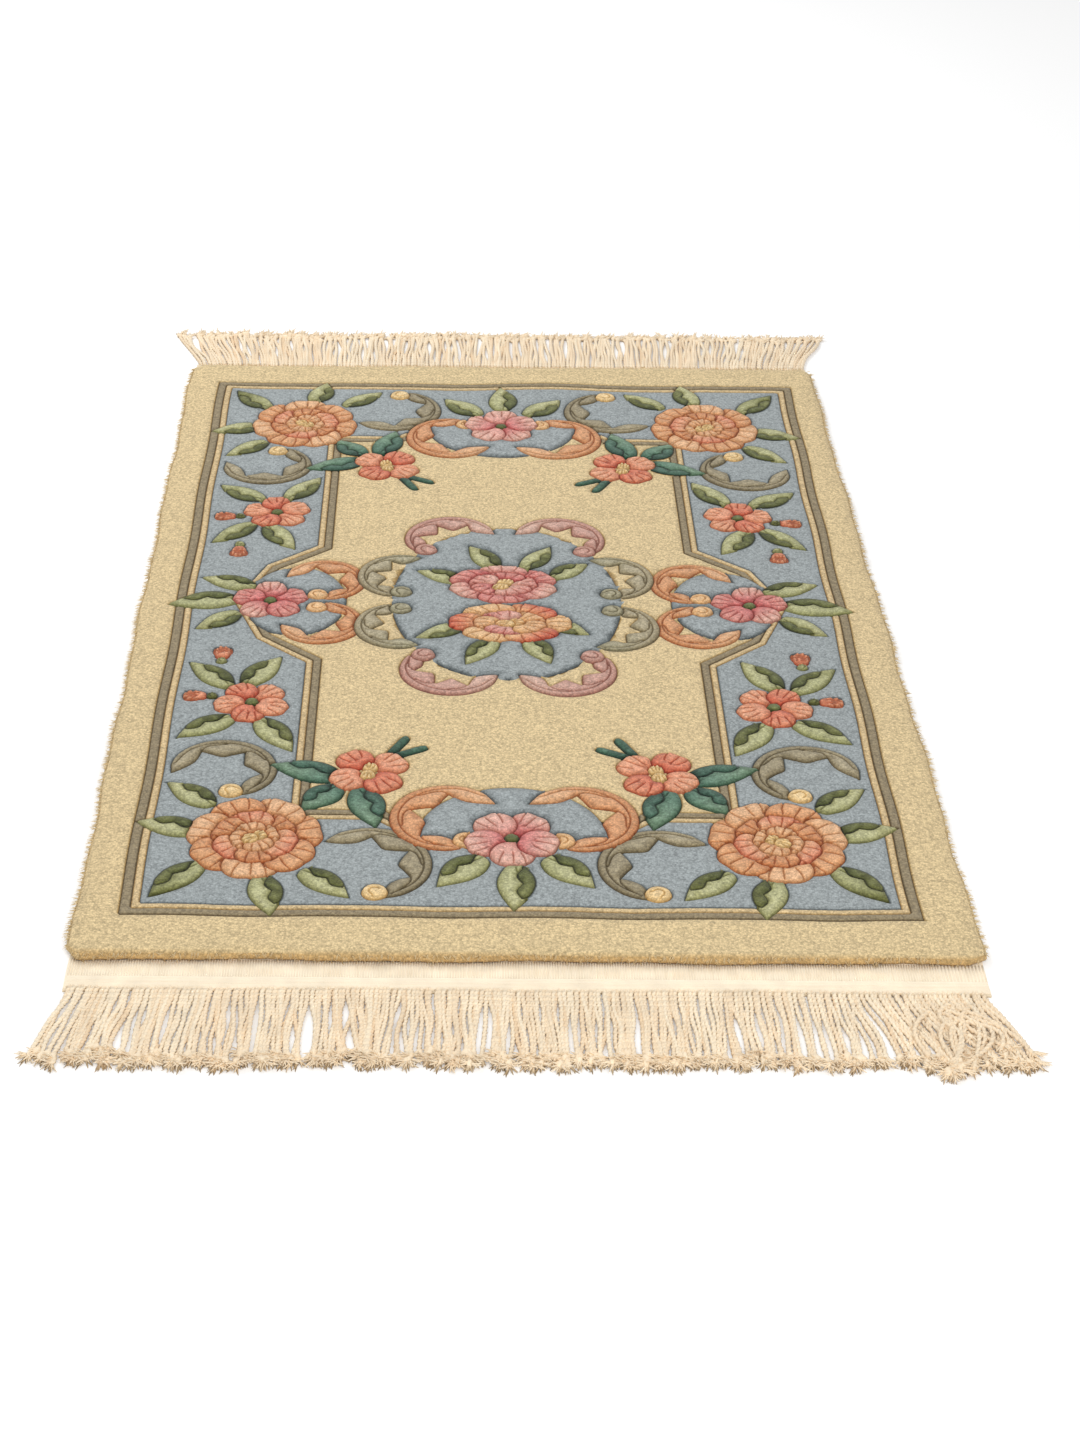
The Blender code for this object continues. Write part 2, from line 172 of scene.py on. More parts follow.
# Puts a drawn motif on the rug, once for each flip
def lay(parts, flips=(asIs,)):
    for flip in flips:
        first = len(figures) + 1
        for part in parts:
            if "loop" in part:
                copy = dict(part, loop=flip(part["loop"]))
                if part["axis"] is not None:
                    copy["axis"] = flip(np.array(part["axis"], float))
                figures.append(copy)
        for part in parts:
            if "path" in part:
                creases.append(dict(part, path=flip(part["path"]), first=first, last=len(figures)))


# The right side runs askew: the border is wider at the front than at the back
def widened(x, y):
    return x + (lean["middle"] + lean["perMetre"] * y) * np.clip((x - lean["from"]) / lean["over"], 0, 1)


# How far the back end runs back, more so towards the right
def pulled(x, y):
    return (lean["backMiddle"] + lean["backSlope"] * x) * np.clip((y - lean["backFrom"]) / lean["backOver"],
                                                                  0, 1)


lean = {"backFrom": 0.40, "backOver": 0.338, "backMiddle": 0.007, "backSlope": 0.019, "middle": 0.0021,
        "perMetre": -0.0136, "from": 0.430, "over": 0.036}


# How far the pile's edge strays, the same as on the solid
def waves(place, phase):
    return 0.0014 * np.sin(19 * place + phase) + 0.0009 * np.sin(47 * place + 2.3 * phase)


# The pile's outline, with its corners cut round
def pileEdge(inset, step):
    corner = 0.012
    halfWidth, halfLength = rug["halfWidth"] - inset, rug["halfLength"] - inset
    x = np.arange(-rug["halfWidth"] + corner, rug["halfWidth"] - corner, step)
    y = np.arange(-rug["halfLength"] + corner, rug["halfLength"] - corner, step)
    front = np.column_stack([x, -halfLength + waves(x, 0.7)])
    right = np.column_stack([halfWidth + waves(y, 2.1), y])
    back = np.column_stack([-x, halfLength + waves(-x, 4.0)])
    left = np.column_stack([-halfWidth + waves(-y, 5.2), -y])
    loop = np.vstack([front, right, back, left])
    loop[:, 0] = widened(loop[:, 0], loop[:, 1])
    return loop


# the solid's left edge and its front end say where the rug's own middle lies
rugMiddle = Vector((bodyLow.x - pileEdge(0, 0.062)[:, 0].min(), bodyLow.y - rug["clothFront"], 0.0))

# Frames: the plain border, the two guard stripes and the field's own frame
frames = {
    "guard": ((0.4248, 0.6708, "stripeGrey"), (0.4130, 0.6592, "stripeBeige"), (0.4042, 0.6505, "blue")),
    "guardStray": 0.0011, "backBulge": 0.006, "backBulgeAt": 0.06,
    "field": ((-0.352, 0.004), (-0.318, -0.088), (-0.2545, -0.1445), (-0.2545, -0.4875), (-0.158, -0.4875),
              (-0.122, -0.522), (-0.100, -0.505), (-0.010, -0.480)),
    "fieldStripes": ((0.0, "stripeBeige"), (0.0082, "stripeGrey"), (0.0188, "beige")),
}


# A stripe's edge: a rectangle that strays a little, bulging at the back
def guardLoop(halfWidth, halfLength):
    step = drawing["step"]
    x = np.arange(-halfWidth, halfWidth, step)
    y = np.arange(-halfLength, halfLength, step)
    stray = frames["guardStray"]
    bulge = frames["backBulge"] * np.exp(-((x - frames["backBulgeAt"]) / 0.075) ** 2)
    front = np.column_stack([x, -halfLength + stray * np.sin(31 * x + 1)])
    right = np.column_stack([halfWidth + stray * np.sin(27 * y + 2), y])
    back = np.column_stack([x, halfLength + stray * np.sin(24 * x) + bulge])[::-1]
    left = np.column_stack([-halfWidth + stray * np.sin(22 * y + 4), y])[::-1]
    return np.vstack([front, right, back, left])


# A closed polygon moved inwards by an even amount; it runs anticlockwise
def insetLoop(corners, inset):
    out = []
    for i in range(len(corners)):
        a, b, c = (np.array(corners[j % len(corners)]) for j in (i - 1, i, i + 1))
        u = (b - a) / np.linalg.norm(b - a)
        v = (c - b) / np.linalg.norm(c - b)
        inward = np.array((-u[1], u[0])) + np.array((-v[1], v[0]))
        out.append(b + inward * inset / (1 + u.dot(v)))
    return out


# A closed polygon cut into short steps
def straightLoop(corners):
    path = []
    for a, b in zip(corners, corners[1:] + corners[:1]):
        path += evenSteps([np.array(a), np.array(b)])[:-1]
    return np.array(path)


def layFrames():
    figures.append(figure(pileEdge(0.003, 0.004), "beige", closed=False))
    for halfWidth, halfLength, yarn in frames["guard"]:
        figures.append(figure(guardLoop(halfWidth, halfLength), yarn, closed=False, rise=0.0002))
    quarter = np.array(frames["field"])
    corners = [*quarter, *across(quarter)[::-1], *both(quarter), *along(quarter)[::-1]]
    for inset, yarn in frames["fieldStripes"]:
        figures.append(figure(straightLoop(insetLoop(corners, inset)), yarn, closed=False, rise=0.0002))


# Leaves: tip, base and width in millimetres, tones, and the side the dark tone lies on
leafShape = {"steps": 6, "widestAt": 0.85, "foot": 0.42, "belly": 0.80, "bend": 0.10, "last": 0.88,
             "notches": 5, "notchStep": 0.17, "notchHigh": 0.34, "notchLow": 0.02}


# Half a leaf's width at a share of its length, as a share of its greatest half width
def leafHalf(run):
    return (leafShape["foot"] * (1 - run)
            + leafShape["belly"] * math.sin(math.pi * run ** leafShape["widestAt"]))


def leaf(tipX, tipY, baseX, baseY, width, side=1, dark="oliveDark", mid="olive", light="oliveLight",
         pale="sage"):
    tip, base = np.array((tipX, tipY)) * mm, np.array((baseX, baseY)) * mm
    ahead = tip - base
    out = np.array((-ahead[1], ahead[0])) / np.linalg.norm(ahead) * side * width * mm / 2

    def place(rows):
        shape = []
        for run, high, *sharp in rows:
            bend = leafShape["bend"] * math.sin(math.pi * run)
            shape.append(tuple(base + ahead * run + out * (high + bend)) + tuple(sharp))
        return shape
    edge = [(run, leafHalf(run)) for run in np.linspace(0, leafShape["last"], leafShape["steps"])]
    outline = edge + [(1, 0, 1)] + [(run, -high) for run, high in reversed(edge)]
    shaded = edge[:-1]
    for k in range(leafShape["notches"]):
        high = leafShape["notchLow"] if k % 2 else leafShape["notchHigh"]
        shaded.append((0.76 - leafShape["notchStep"] * k, high, 1 - k % 2))
    return [figure(place(outline), light, pale, (tip, base)),
            figure(place(shaded), dark, mid, (base, base + ahead * 0.9), depth=0.42),
            crease(place([(0.06, 0.02), (0.22, 0.08), (0.38, 0.16)]), 0.35)]


# Petals, worked out round a centre: a rounded blade with a slight notch at its tip
petalShape = {"points": 13, "turn": 2.85, "middle": 0.54, "half": 0.46, "notch": 0.05, "notchOver": 0.3,
              "folds": (-0.55, 0.05, 0.55), "foldRun": (0.52, 0.70, 0.86), "foldSpread": (0.7, 0.95, 1.05)}


def petal(centre, angle, start, reach, breadth, deep, pale, stretch=(1.0, 1.0)):
    c, s = math.cos(math.radians(angle)), math.sin(math.radians(angle))

    def place(rows):
        return [(centre[0] + (x * c - y * s) * stretch[0] * mm, centre[1] + (x * s + y * c) * stretch[1] * mm)
                for x, y in rows]
    shape = petalShape
    outline = []
    for a in np.linspace(-shape["turn"], shape["turn"], shape["points"]):
        run = (shape["middle"] + shape["half"] * math.cos(a)
               - shape["notch"] * math.exp(-(a / shape["notchOver"]) ** 2))
        outline.append((start + reach * run, breadth * math.sin(a)))
    parts = [figure(place(outline), deep, pale, place([(start, 0), (start + reach, 0)]), rise=0.0003)]
    for lean in shape["folds"]:
        rows = [(start + reach * run, breadth * lean * wide)
                for run, wide in zip(shape["foldRun"], shape["foldSpread"])]
        parts.append(crease(place(rows), 0.5))
    return parts


# Blooms are rings of petals: count, start, reach, half breadth, first angle and the tones in turn
blooms = {
    "cornerRose": ((7, 22, 57, 33, 12, (("roseBase", "rose"), ("rose", "roseLight"))),
                   (6, 8, 43, 26, 40, (("rose", "roseBase"), ("roseLight", "coral"))),
                   (4, 0, 29, 18, 20, (("rose", "roseLight"),)), (2, -6, 22, 9, 30, (("cream", "cream"),))),
    "pinkRose": ((6, 20, 60, 36, 30, (("pinkDeep", "pink"), ("pinkDeep", "pinkLight"))),
                 (5, 6, 44, 28, 10, (("pinkLight", "pink"), ("pinkDeep", "pink"))),
                 (2, -6, 30, 12, 70, (("cream", "cream"),))),
    "peachRose": ((6, 20, 60, 36, 0, (("orange", "peach"), ("peach", "coralDeep"))),
                  (5, 6, 42, 27, 40, (("peach", "orange"), ("pinkLight", "pink"))),
                  (2, -8, 28, 14, 20, (("cream", "peach"),))),
    "coralBloom": ((4, 4, 46, 23, 35, (("coral", "coralLight"), ("coralDeep", "coral"))),
                   (2, -4, 22, 9, 80, (("cream", "cream"),))),
    "sideFlower": ((5, 3, 44, 20, 48, (("coral", "coralLight"), ("coralDeep", "coral"))),),
    "endFlower": ((5, 3, 52, 25, 54, (("pinkDeep", "pinkLight"), ("pink", "pinkLight"))),),
    "cartoucheFlower": ((5, 3, 47, 21, 20, (("pinkDeep", "pink"), ("pinkDeep", "pinkLight"))),),
    "buttonSize": 8.6,
}


def bloom(name, centre, stretch=(1.0, 1.0), button=None):
    parts = []
    for count, start, reach, breadth, first, tones in blooms[name]:
        for k in range(count):
            deep, pale = tones[k % len(tones)]
            parts += petal(centre, first + 360 * k / count, start, reach, breadth, deep, pale, stretch)
    if button:
        size = blooms["buttonSize"]
        ring = [(size * math.cos(a), size * math.sin(a)) for a in np.linspace(0, 5.5, 8)]
        parts.append(figure(chart(ring, centre), button, rise=0.0004))
    return parts


# A bud: three narrow petals that fan out of a small calyx
budShape = {"fan": (-20, 20, 0), "start": -15, "reach": 34, "breadth": 10, "calyx": 7, "calyxAt": -17}


def bud(centre, angle, calyx):
    parts = []
    for turn in budShape["fan"]:
        parts += petal(centre, angle + turn, budShape["start"], budShape["reach"], budShape["breadth"],
                       "coral", "coralLight")
    a = math.radians(angle)
    foot = (centre[0] + budShape["calyxAt"] * math.cos(a) * mm,
            centre[1] + budShape["calyxAt"] * math.sin(a) * mm)
    return parts + ball(foot, 0, 0, budShape["calyx"], calyx)


# The rolled end of a scroll
def ball(centre, x, y, size, yarn, deep=None):
    ring = [(x + size * math.cos(a), y + size * math.sin(a)) for a in np.linspace(0, 5.6, 9)]
    curl = [(x + size * 0.45 * math.cos(a), y + size * 0.45 * math.sin(a)) for a in np.linspace(0.6, 4.2, 6)]
    axis = chart([(x - size, y), (x + size, y)], centre)
    return [figure(chart(ring, centre), yarn, deep or yarn, axis, rise=0.0004),
            crease(chart(curl, centre), 0.3)]


# Acanthus scrolls: a curled band with lobes along its inner side, near the solid's own arcs.
# Each is centre x and y, radius, first and last angle and greatest width, in metres and degrees.
scrolls = {
    "sideGrey": (-0.339, -0.392, 0.050, 185, -70, 0.033), "endGrey": (-0.170, -0.577, 0.058, 135, -75, 0.034),
    "endOrange": (-0.075, -0.485, 0.052, 30, 290, 0.036),
    "sideOrange": (-0.245, 0.060, 0.042, 170, -95, 0.032),
    "pink": (-0.075, 0.175, 0.052, 20, 215, 0.036), "grey": (-0.135, 0.075, 0.048, 70, 260, 0.034),
    "steps": 11, "lobes": 4, "endShare": 0.34, "lobeSwell": 1.25, "lobeFoot": 0.85, "notchAt": 0.15,
    "foldAt": 0.45, "foldEnds": (0.08, 0.92), "endBall": 0.42,
}


def scroll(name, yarnA, yarnB, ballYarn):
    x, y, radius, start, end, width = scrolls[name]

    def half(t):
        return width / 2 * (scrolls["endShare"] + (1 - scrolls["endShare"]) * math.sin(math.pi * t) ** 0.8)

    def at(t, share):
        turn = math.radians(start + (end - start) * t)
        far = radius + share * half(t)
        return x + far * math.cos(turn), y + far * math.sin(turn)
    outline = [at(t, 1) for t in np.linspace(0, 1, scrolls["steps"])]
    outline[0], outline[-1] = outline[0] + (1,), outline[-1] + (1,)
    parts = []
    lobe = 1 / scrolls["lobes"]
    for k in range(scrolls["lobes"]):
        first = 1 - k * lobe
        outline += [at(first - lobe * 0.22, -scrolls["lobeFoot"]),
                    at(first - lobe * 0.5, -scrolls["lobeSwell"]),
                    at(first - lobe * 0.8, -scrolls["lobeFoot"])]
        if k < scrolls["lobes"] - 1:
            notch = first - lobe
            outline.append(at(notch, -scrolls["notchAt"]) + (1,))
            parts.append(crease([at(notch, -scrolls["notchAt"]), at(notch + lobe * 0.2, 0.15),
                                 at(notch + lobe * 0.55, 0.30)], 0.6))
    low, high = scrolls["foldEnds"]
    parts.append(crease([at(t, scrolls["foldAt"]) for t in np.linspace(low, high, 8)], 0.6))
    patch = figure(outline, yarnA, yarnB, (at(0, 0), at(0.5, 0)))
    tip = at(1, -1.1)
    return [patch] + parts + ball(tip, 0, 0, scrolls["endBall"] * width / mm, ballYarn)


# A flip about a motif's own centre
def mirrorIn(centre, inX, inY):
    def flip(points):
        out = points.copy()
        if inX:
            out[:, 0] = 2 * centre[0] - points[:, 0]
        if inY:
            out[:, 1] = 2 * centre[1] - points[:, 1]
        return out
    return flip


# Blue pile inside the cartouches and the medallion: centre and half sizes of plain ovals
grounds = {"end": (-0.0087, -0.5218, 0.106, 0.100), "side": (-0.275, 0.0075, 0.064, 0.088),
           "medallion": (-0.008, 0.0145, 0.146, 0.198), "steps": 60}
middles = {"side": (-0.3069, 0.0075), "medallion": (-0.008, 0.012)}


def layGrounds():
    for name, flips, upperOnly in (("end", ends, True), ("side", sides, False),
                                   ("medallion", (asIs,), False)):
        x, y, wide, long = grounds[name]
        turns = np.linspace(0, math.pi if upperOnly else 2 * math.pi, grounds["steps"], endpoint=upperOnly)
        loop = np.column_stack([x + wide * np.cos(turns), y + long * np.sin(turns)])
        lay([figure(loop, "blue", closed=False)], flips)


def layScrolls():
    lay(scroll("sideGrey", "scrollGrey", "scrollGreyDeep", "cream"), quarters)
    lay(scroll("endGrey", "scrollGrey", "scrollGreyDeep", "cream"), quarters)
    lay(scroll("endOrange", "orange", "orangeDeep", "peach"), quarters)
    half = scroll("sideOrange", "orange", "orangeDeep", "peach")
    for flip in (asIs, mirrorIn(middles["side"], False, True)):
        for side in sides:
            lay(half, (lambda points: side(flip(points)),))
    for inX, inY in ((False, False), (True, False), (False, True), (True, True)):
        flip = mirrorIn(middles["medallion"], inX, inY)
        lay(scroll("grey", "lichen", "scrollGrey", "lichen"), (flip,))
        lay(scroll("pink", "mauve", "mauveDeep", "mauveDeep"), (flip,))


# A short cut stalk with a round end, from one place in metres at an angle
def stem(x, y, angle, long, width):
    a = math.radians(angle)
    ahead, out = np.array((math.cos(a), math.sin(a))) * long, np.array((-math.sin(a),
                                                                        math.cos(a))) * width / 2
    start = np.array((x, y))
    rows = [start + out, start + ahead / 2 + out * 1.15, start + ahead + out, start + ahead * 1.12,
            start + ahead - out, start + ahead / 2 - out, start - out]
    return figure([tuple(p) for p in rows], "tealDark", "teal", (start, start + ahead))


def layLeaves():
    teal = ("tealDark", "teal", "tealLight", "teal")
    quarterLeaves = (
        leaf(-397, -416, -342, -463, 34, -1), leaf(-423, -496, -353, -515, 36, -1),
        leaf(-396, -639, -346, -577, 36, -1, light="olive"), leaf(-265, -670, -280, -599, 36, 1),
        leaf(-183, -638, -236, -588, 34, 1), leaf(-396, -148, -342, -205, 34, -1, light="sage"),
        leaf(-284, -133, -324, -201, 36, 1), leaf(-396, -322, -335, -276, 36, -1, light="sage"),
        leaf(-260, -350, -302, -280, 36, 1), leaf(-284, -377, -201, -405, 40, -1, *teal),
        leaf(-243, -471, -203, -423, 38, -1, *teal), leaf(-159, -504, -181, -427, 40, 1, *teal))
    for motif in quarterLeaves:
        lay(motif, quarters)
    for motif in (leaf(-91, -616, -40, -561, 40, -1), leaf(79, -616, 28, -561, 40, 1),
                  leaf(-9, -658, -6, -576, 40, 1)):
        lay(motif, ends)
    for motif in (leaf(-399, 67, -330, 41, 34, -1), leaf(-436, -5, -350, 10, 42, -1, light="sage"),
                  leaf(-397, -67, -344, -25, 34, 1)):
        lay(motif, sides)
    for row in ((-56, 162, -20, 98, 33, -1), (52, 162, 16, 100, 33, -1), (100, 116, 52, 76, 32, 1),
                (-124, 92, -62, 62, 32, -1), (-124, -84, -62, -50, 32, 1), (96, -72, 46, -38, 32, -1),
                (-60, -148, -24, -86, 33, -1), (44, -144, 18, -82, 33, 1)):
        lay(leaf(*row))


def layFlowers():
    lay(bloom("sideFlower", (-0.3137, -0.2404), button="button"), quarters)
    lay(bud((-0.379, -0.227), 180, "olive") + bud((-0.357, -0.128), 90, "sage"), quarters)
    lay(bloom("endFlower", (-0.009, -0.523), button="button"), ends)
    lay(bloom("cartoucheFlower", (-0.3075, 0.008), button="button"), sides)
    stems = [stem(-0.152, -0.364, angle, 0.050, 0.011) for angle in (64, 30)]
    lay(stems + bloom("coralBloom", (-0.170, -0.390)), quarters)
    lay(bloom("cornerRose", (-0.291, -0.525), (0.97, 1.02)), quarters)
    lay(bloom("peachRose", (-0.004, -0.043), (1.0, 0.64)))
    lay(bloom("pinkRose", (-0.012, 0.057), (0.92, 0.64)))


layFrames()
layGrounds()
layScrolls()
layLeaves()
layFlowers()
print("pattern drawn:", len(figures), "patches,", len(creases), "creases", flush=True)


# The pattern as a raster of labels, which says what lies where
raster = {"cell": 0.0005, "corner": (-0.50, -0.77), "columns": 2000, "rows": 3080}


def fillLabels():
    labels = np.zeros((raster["rows"], raster["columns"]), np.int16)
    for number, item in enumerate(figures, 1):
        loop = (item["loop"] - np.array(raster["corner"])) / raster["cell"]
        low = np.floor(loop.min(axis=0)).astype(int) - 1
        high = np.ceil(loop.max(axis=0)).astype(int) + 2
        (x1, y1), (x2, y2) = (loop - low).T, np.roll(loop - low, -1, axis=0).T
        first = np.ceil(np.minimum(y1, y2) - 0.5).astype(int)
        last = np.ceil(np.maximum(y1, y2) - 0.5).astype(int)
        toggles = np.zeros((high[1] - low[1], high[0] - low[0]), np.uint8)
        for k in range(int((last - first).max())):
            used = first + k < last
            row = (first + k)[used]
            slope = (x2 - x1)[used] / (y2 - y1)[used]
            column = np.ceil(x1[used] + (row + 0.5 - y1[used]) * slope - 0.5).astype(int)
            np.bitwise_xor.at(toggles, (row, column), 1)
        inside = np.bitwise_xor.accumulate(toggles, axis=1) == 1
        labels[low[1]:high[1], low[0]:high[0]][inside] = number
    return labels


def labelAt(places):
    index = ((places - np.array(raster["corner"])) / raster["cell"]).astype(int)
    return labels[np.clip(index[:, 1], 0, raster["rows"] - 1), np.clip(index[:, 0], 0, raster["columns"] - 1)]


labels = fillLabels()
print("labels filled", flush=True)

# Carving: heights of the pile and of the grooves along every outline
carving = {
    "groundTop": 0.0130, "figureTop": 0.0150, "groundGroove": 0.0024, "figureGroove": 0.0046,
    "creaseGroove": 0.0026,
    "groundSlope": 0.0032, "figureSlope": 0.0044, "creaseSlope": 0.0034, "rimDrop": 0.0032,
    "rimSlope": 0.0060,
    "look": 0.0009, "rowOffset": 0.0018, "rowClear": 0.0014, "fillStep": 0.0095, "fillClear": 0.0036,
}
plainFigures = 1 + len(frames["guard"]) + len(frames["fieldStripes"])


def normalsOf(path, closed):
    if closed:
        run = np.roll(path, -1, axis=0) - np.roll(path, 1, axis=0)
    else:
        run = np.gradient(path, axis=0)
    run = run / np.maximum(np.hypot(*run.T), 1e-9)[:, None]
    return np.column_stack([run[:, 1], -run[:, 0]])


# Every stretch of outline and crease that can be seen, with its kind
def outlineParts():
    parts = []
    for number, item in enumerate(figures, 1):
        path = item["loop"]
        n = normalsOf(path, True)
        a, b = labelAt(path + n * carving["look"]), labelAt(path - n * carving["look"])
        seen = (a != b) & ((a == number) | (b == number))
        figured = np.maximum(a, b) > plainFigures
        kind = np.where(np.minimum(a, b) == 0, 3, np.where(figured, 1, 0))
        parts.append((path, n, seen, kind, item["depth"], True))
    for item in creases:
        path = item["path"]
        n = normalsOf(path, False)
        a, b = labelAt(path + n * carving["look"]), labelAt(path - n * carving["look"])
        seen = (a == b) & (a >= item["first"]) & (a <= item["last"])
        parts.append((path, n, seen, np.full(len(path), 2), item["depth"], False))
    return parts


# Points of the carved surface, the edges that it keeps, and samples of the grooves
def surfacePoints(parts):
    points, edges, samples = [], [], []
    rows = []
    for path, n, seen, kind, depth, closed in parts:
        count = len(path)
        place = {}
        for i in np.flatnonzero(seen):
            place[i] = len(points)
            points.append(path[i])
            samples.append((path[i][0], path[i][1], kind[i], depth))
            for side in (-1, 1):
                rows.append(path[i] + n[i] * side * carving["rowOffset"])
        for i in place:
            j = (i + 1) % count if closed else i + 1
            if j in place:
                edges.append((place[i], place[j]))
                for t in (1 / 3, 2 / 3):
                    x, y = path[i] * (1 - t) + path[j] * t
                    samples.append((x, y, kind[i], depth))
    return points, edges, samples, rows


def treeOf(samples):
    tree = kdtree.KDTree(len(samples))
    for i, s in enumerate(samples):
        tree.insert((s[0], s[1], 0), i)
    tree.balance()
    return tree


# A row of points on each side of the grooves and an even fill between them
def addFill(points, tree, rows):
    for p in rows:
        if labelAt(p[None])[0] and tree.find((p[0], p[1], 0))[2] > carving["rowClear"]:
            points.append(p)
    step = carving["fillStep"]
    across = np.arange(-rug["halfWidth"], rug["halfWidth"], step)
    for i, y in enumerate(np.arange(-rug["halfLength"], rug["halfLength"], step * 0.866)):
        line = np.column_stack([across + (i % 2) * step / 2, np.full(len(across), y)])
        for p in line[labelAt(line) > 0]:
            if tree.find((p[0], p[1], 0))[2] > carving["fillClear"]:
                points.append(p)


# Height of the pile, and the painted shading of each place: painted shade from 0 to 1 deep in a groove, and a
# little below 0 as a painted highlight on a groove's shoulders
def carvedHeight(places, own, tree, samples):
    z = np.empty(len(places))
    paintedShading = np.empty(len(places))
    for i, (x, y) in enumerate(places):
        index, d = tree.find((x, y, 0))[1:]
        kind, depth = samples[index][2:]
        figured = own[i] > plainFigures
        top = carving["figureTop"] + figures[own[i] - 1]["rise"] if figured else carving["groundTop"]
        if kind == 3:
            drop, slope = carving["rimDrop"], carving["rimSlope"]
        elif kind == 2:
            drop, slope = carving["creaseGroove"] * depth / 0.55, carving["creaseSlope"]
        elif kind == 1:
            drop = (carving["figureGroove"] if figured else carving["groundGroove"] + 0.0004) * depth
            slope = carving["figureSlope"] if figured else carving["groundSlope"]
        else:
            drop, slope = carving["groundGroove"], carving["groundSlope"]
        t = min(d / slope, 1)
        fall = (1 - t) ** 2.4
        swell = 0.00022 * (math.sin(61 * x + 23 * y) + math.sin(37 * y - 48 * x + 2)
                           + math.sin(143 * x) * math.sin(131 * y))
        z[i] = top - drop * fall + swell * t
        # painted shade: the deeper in a groove, the darker the wool is painted; a slight painted highlight
        # lies on the groove's shoulders
        paintedShading[i] = fall * (1.0 if kind in (0, 1) else 0.85 if kind == 2 else 0.05)
        paintedShading[i] -= 0.15 * math.exp(-((t - 0.72) / 0.22) ** 2) * (kind != 3)
    return z, paintedShading


# Linear colour of each place for the figure that it belongs to
def yarnColours(own, places):
    out = np.empty((len(own), 3))
    for number in np.unique(own):
        item = figures[number - 1]
        chosen = own == number
        a, b = dye(item["from"]), dye(item["to"])
        if item["axis"] is None:
            out[chosen] = (a + b) / 2
            continue
        start, end = (np.array(p[:2]) for p in item["axis"])
        run = end - start
        t = np.clip(((places[chosen] - start) @ run) / run.dot(run), 0, 1)[:, None]
        t = t * t * (3 - 2 * t)
        out[chosen] = a * (1 - t) + b * t
    return out


# Drops the faces outside the rim: on those, three rim points come clockwise
def insideFaces(faces, origins, rimCount):
    rim = np.array([min(ids) if ids and min(ids) < rimCount else -1 for ids in origins])
    order = rim[faces]
    turns = (np.roll(order, -1, axis=1) < order).sum(axis=1)
    return faces[(order.min(axis=1) < 0) | (turns == 1)], rim


def makePile():
    parts = outlineParts()
    points, edges, samples, rows = surfacePoints(parts)
    tree = treeOf(samples)
    addFill(points, tree, rows)
    print("surface points:", len(points), "of them on outlines:", len(edges), flush=True)
    result = delaunay_2d_cdt([Vector(p) for p in points], edges, [], 0, 0.0002)
    flat = np.array([tuple(v) for v in result[0]])
    faces, rim = insideFaces(np.array(result[2]), result[3], len(figures[0]["loop"]))
    own = np.maximum(labelAt(flat[faces].mean(axis=1)), 1)
    # a point's own figure is the highest one among the faces that meet in it
    ownPoint = np.zeros(len(flat), int)
    np.maximum.at(ownPoint, faces.ravel(), np.repeat(own, 3))
    z, paintedShading = carvedHeight(flat, ownPoint, tree, samples)
    loop = [int(i) for i in np.argsort(rim) if rim[i] >= 0]
    verts = [(x, y, h) for (x, y), h in zip(flat, z)]
    paintedSideShade = []
    ring = flat[loop]
    outward = normalsOf(ring, True)
    allFaces = faces.tolist()
    before = loop
    # each ring of the side carries a painted shade value, darker towards the floor
    for push, height, shade in shadedPileSide["rings"]:
        first = len(verts)
        for p, n in zip(ring, outward):
            lump = 0.0004 * math.sin(210 * (p[0] + p[1])) + 0.0003 * math.sin(517 * (p[0] - p[1]))
            verts.append((p[0] + n[0] * (push + lump), p[1] + n[1] * (push + lump), height))
            paintedSideShade.append(shade)
        now = list(range(first, first + len(loop)))
        for i in range(len(loop)):
            j = (i + 1) % len(loop)
            allFaces.append((before[i], now[i], now[j], before[j]))
        before = now
    allFaces.append(tuple(reversed(before)))
    mesh = bpy.data.meshes.new("pile")
    mesh.from_pydata(verts, [], allFaces)
    corners = np.ones((len(mesh.loops), 4), np.float32)
    tops = yarnColours(np.repeat(own, 3), flat[faces.ravel()])
    # painted shade: the top's strip along the front edge is blended towards the pile side's shade colour
    share = 0.85 * np.clip((shadedPileSide["frontFrom"] - flat[faces.ravel(), 1]) / shadedPileSide["frontOver"], 0,
                           1)[:, None]
    corners[:faces.size, :3] = tops * (1 - share) + np.array(dye("shadedPileSide")) * share
    # painted shade: the sides take a shaded colour, golden where they face front or back and a deeper beige
    # where they face left or right; the bottom takes the golden one
    towards = np.abs(outward[:, 1:])
    sides = dye("shadedPileSide") * towards + dye("shadedSideBeige") * (1 - towards)
    for r in range(len(shadedPileSide["rings"])):
        first = faces.size + r * 4 * len(loop)
        corners[first:first + 4 * len(loop), :3] = np.repeat(sides, 4, axis=0)
    corners[-len(loop):, :3] = dye("shadedPileSide")
    # the yarn colours also hold the painted shade of the pile's sides and front strip
    mesh.color_attributes.new("yarn", "FLOAT_COLOR", "CORNER").data.foreach_set("color", corners.ravel())
    # painted shading of the grooves and of the pile's sides, read by the wool material
    mesh.attributes.new("paintedShading", "FLOAT", "POINT").data.foreach_set("value",
                                                                     np.concatenate([paintedShading, paintedSideShade]))
    mesh.polygons.foreach_set("use_smooth", np.ones(len(mesh.polygons), bool))
    print("pile made:", len(mesh.polygons), "faces", flush=True)
    return mesh


# The pile's side: rings of outward push, height and painted shade, and the strip along the front of the top
# that is painted in the side's shade colour
shadedPileSide = {"frontFrom": -0.7315, "frontOver": 0.004,
            "rings": ((0.0022, 0.0086, 0.0), (0.0028, 0.0058, 0.06), (0.0012, 0.0031, 0.25),
                      (-0.004, 0.0027, 0.6))}


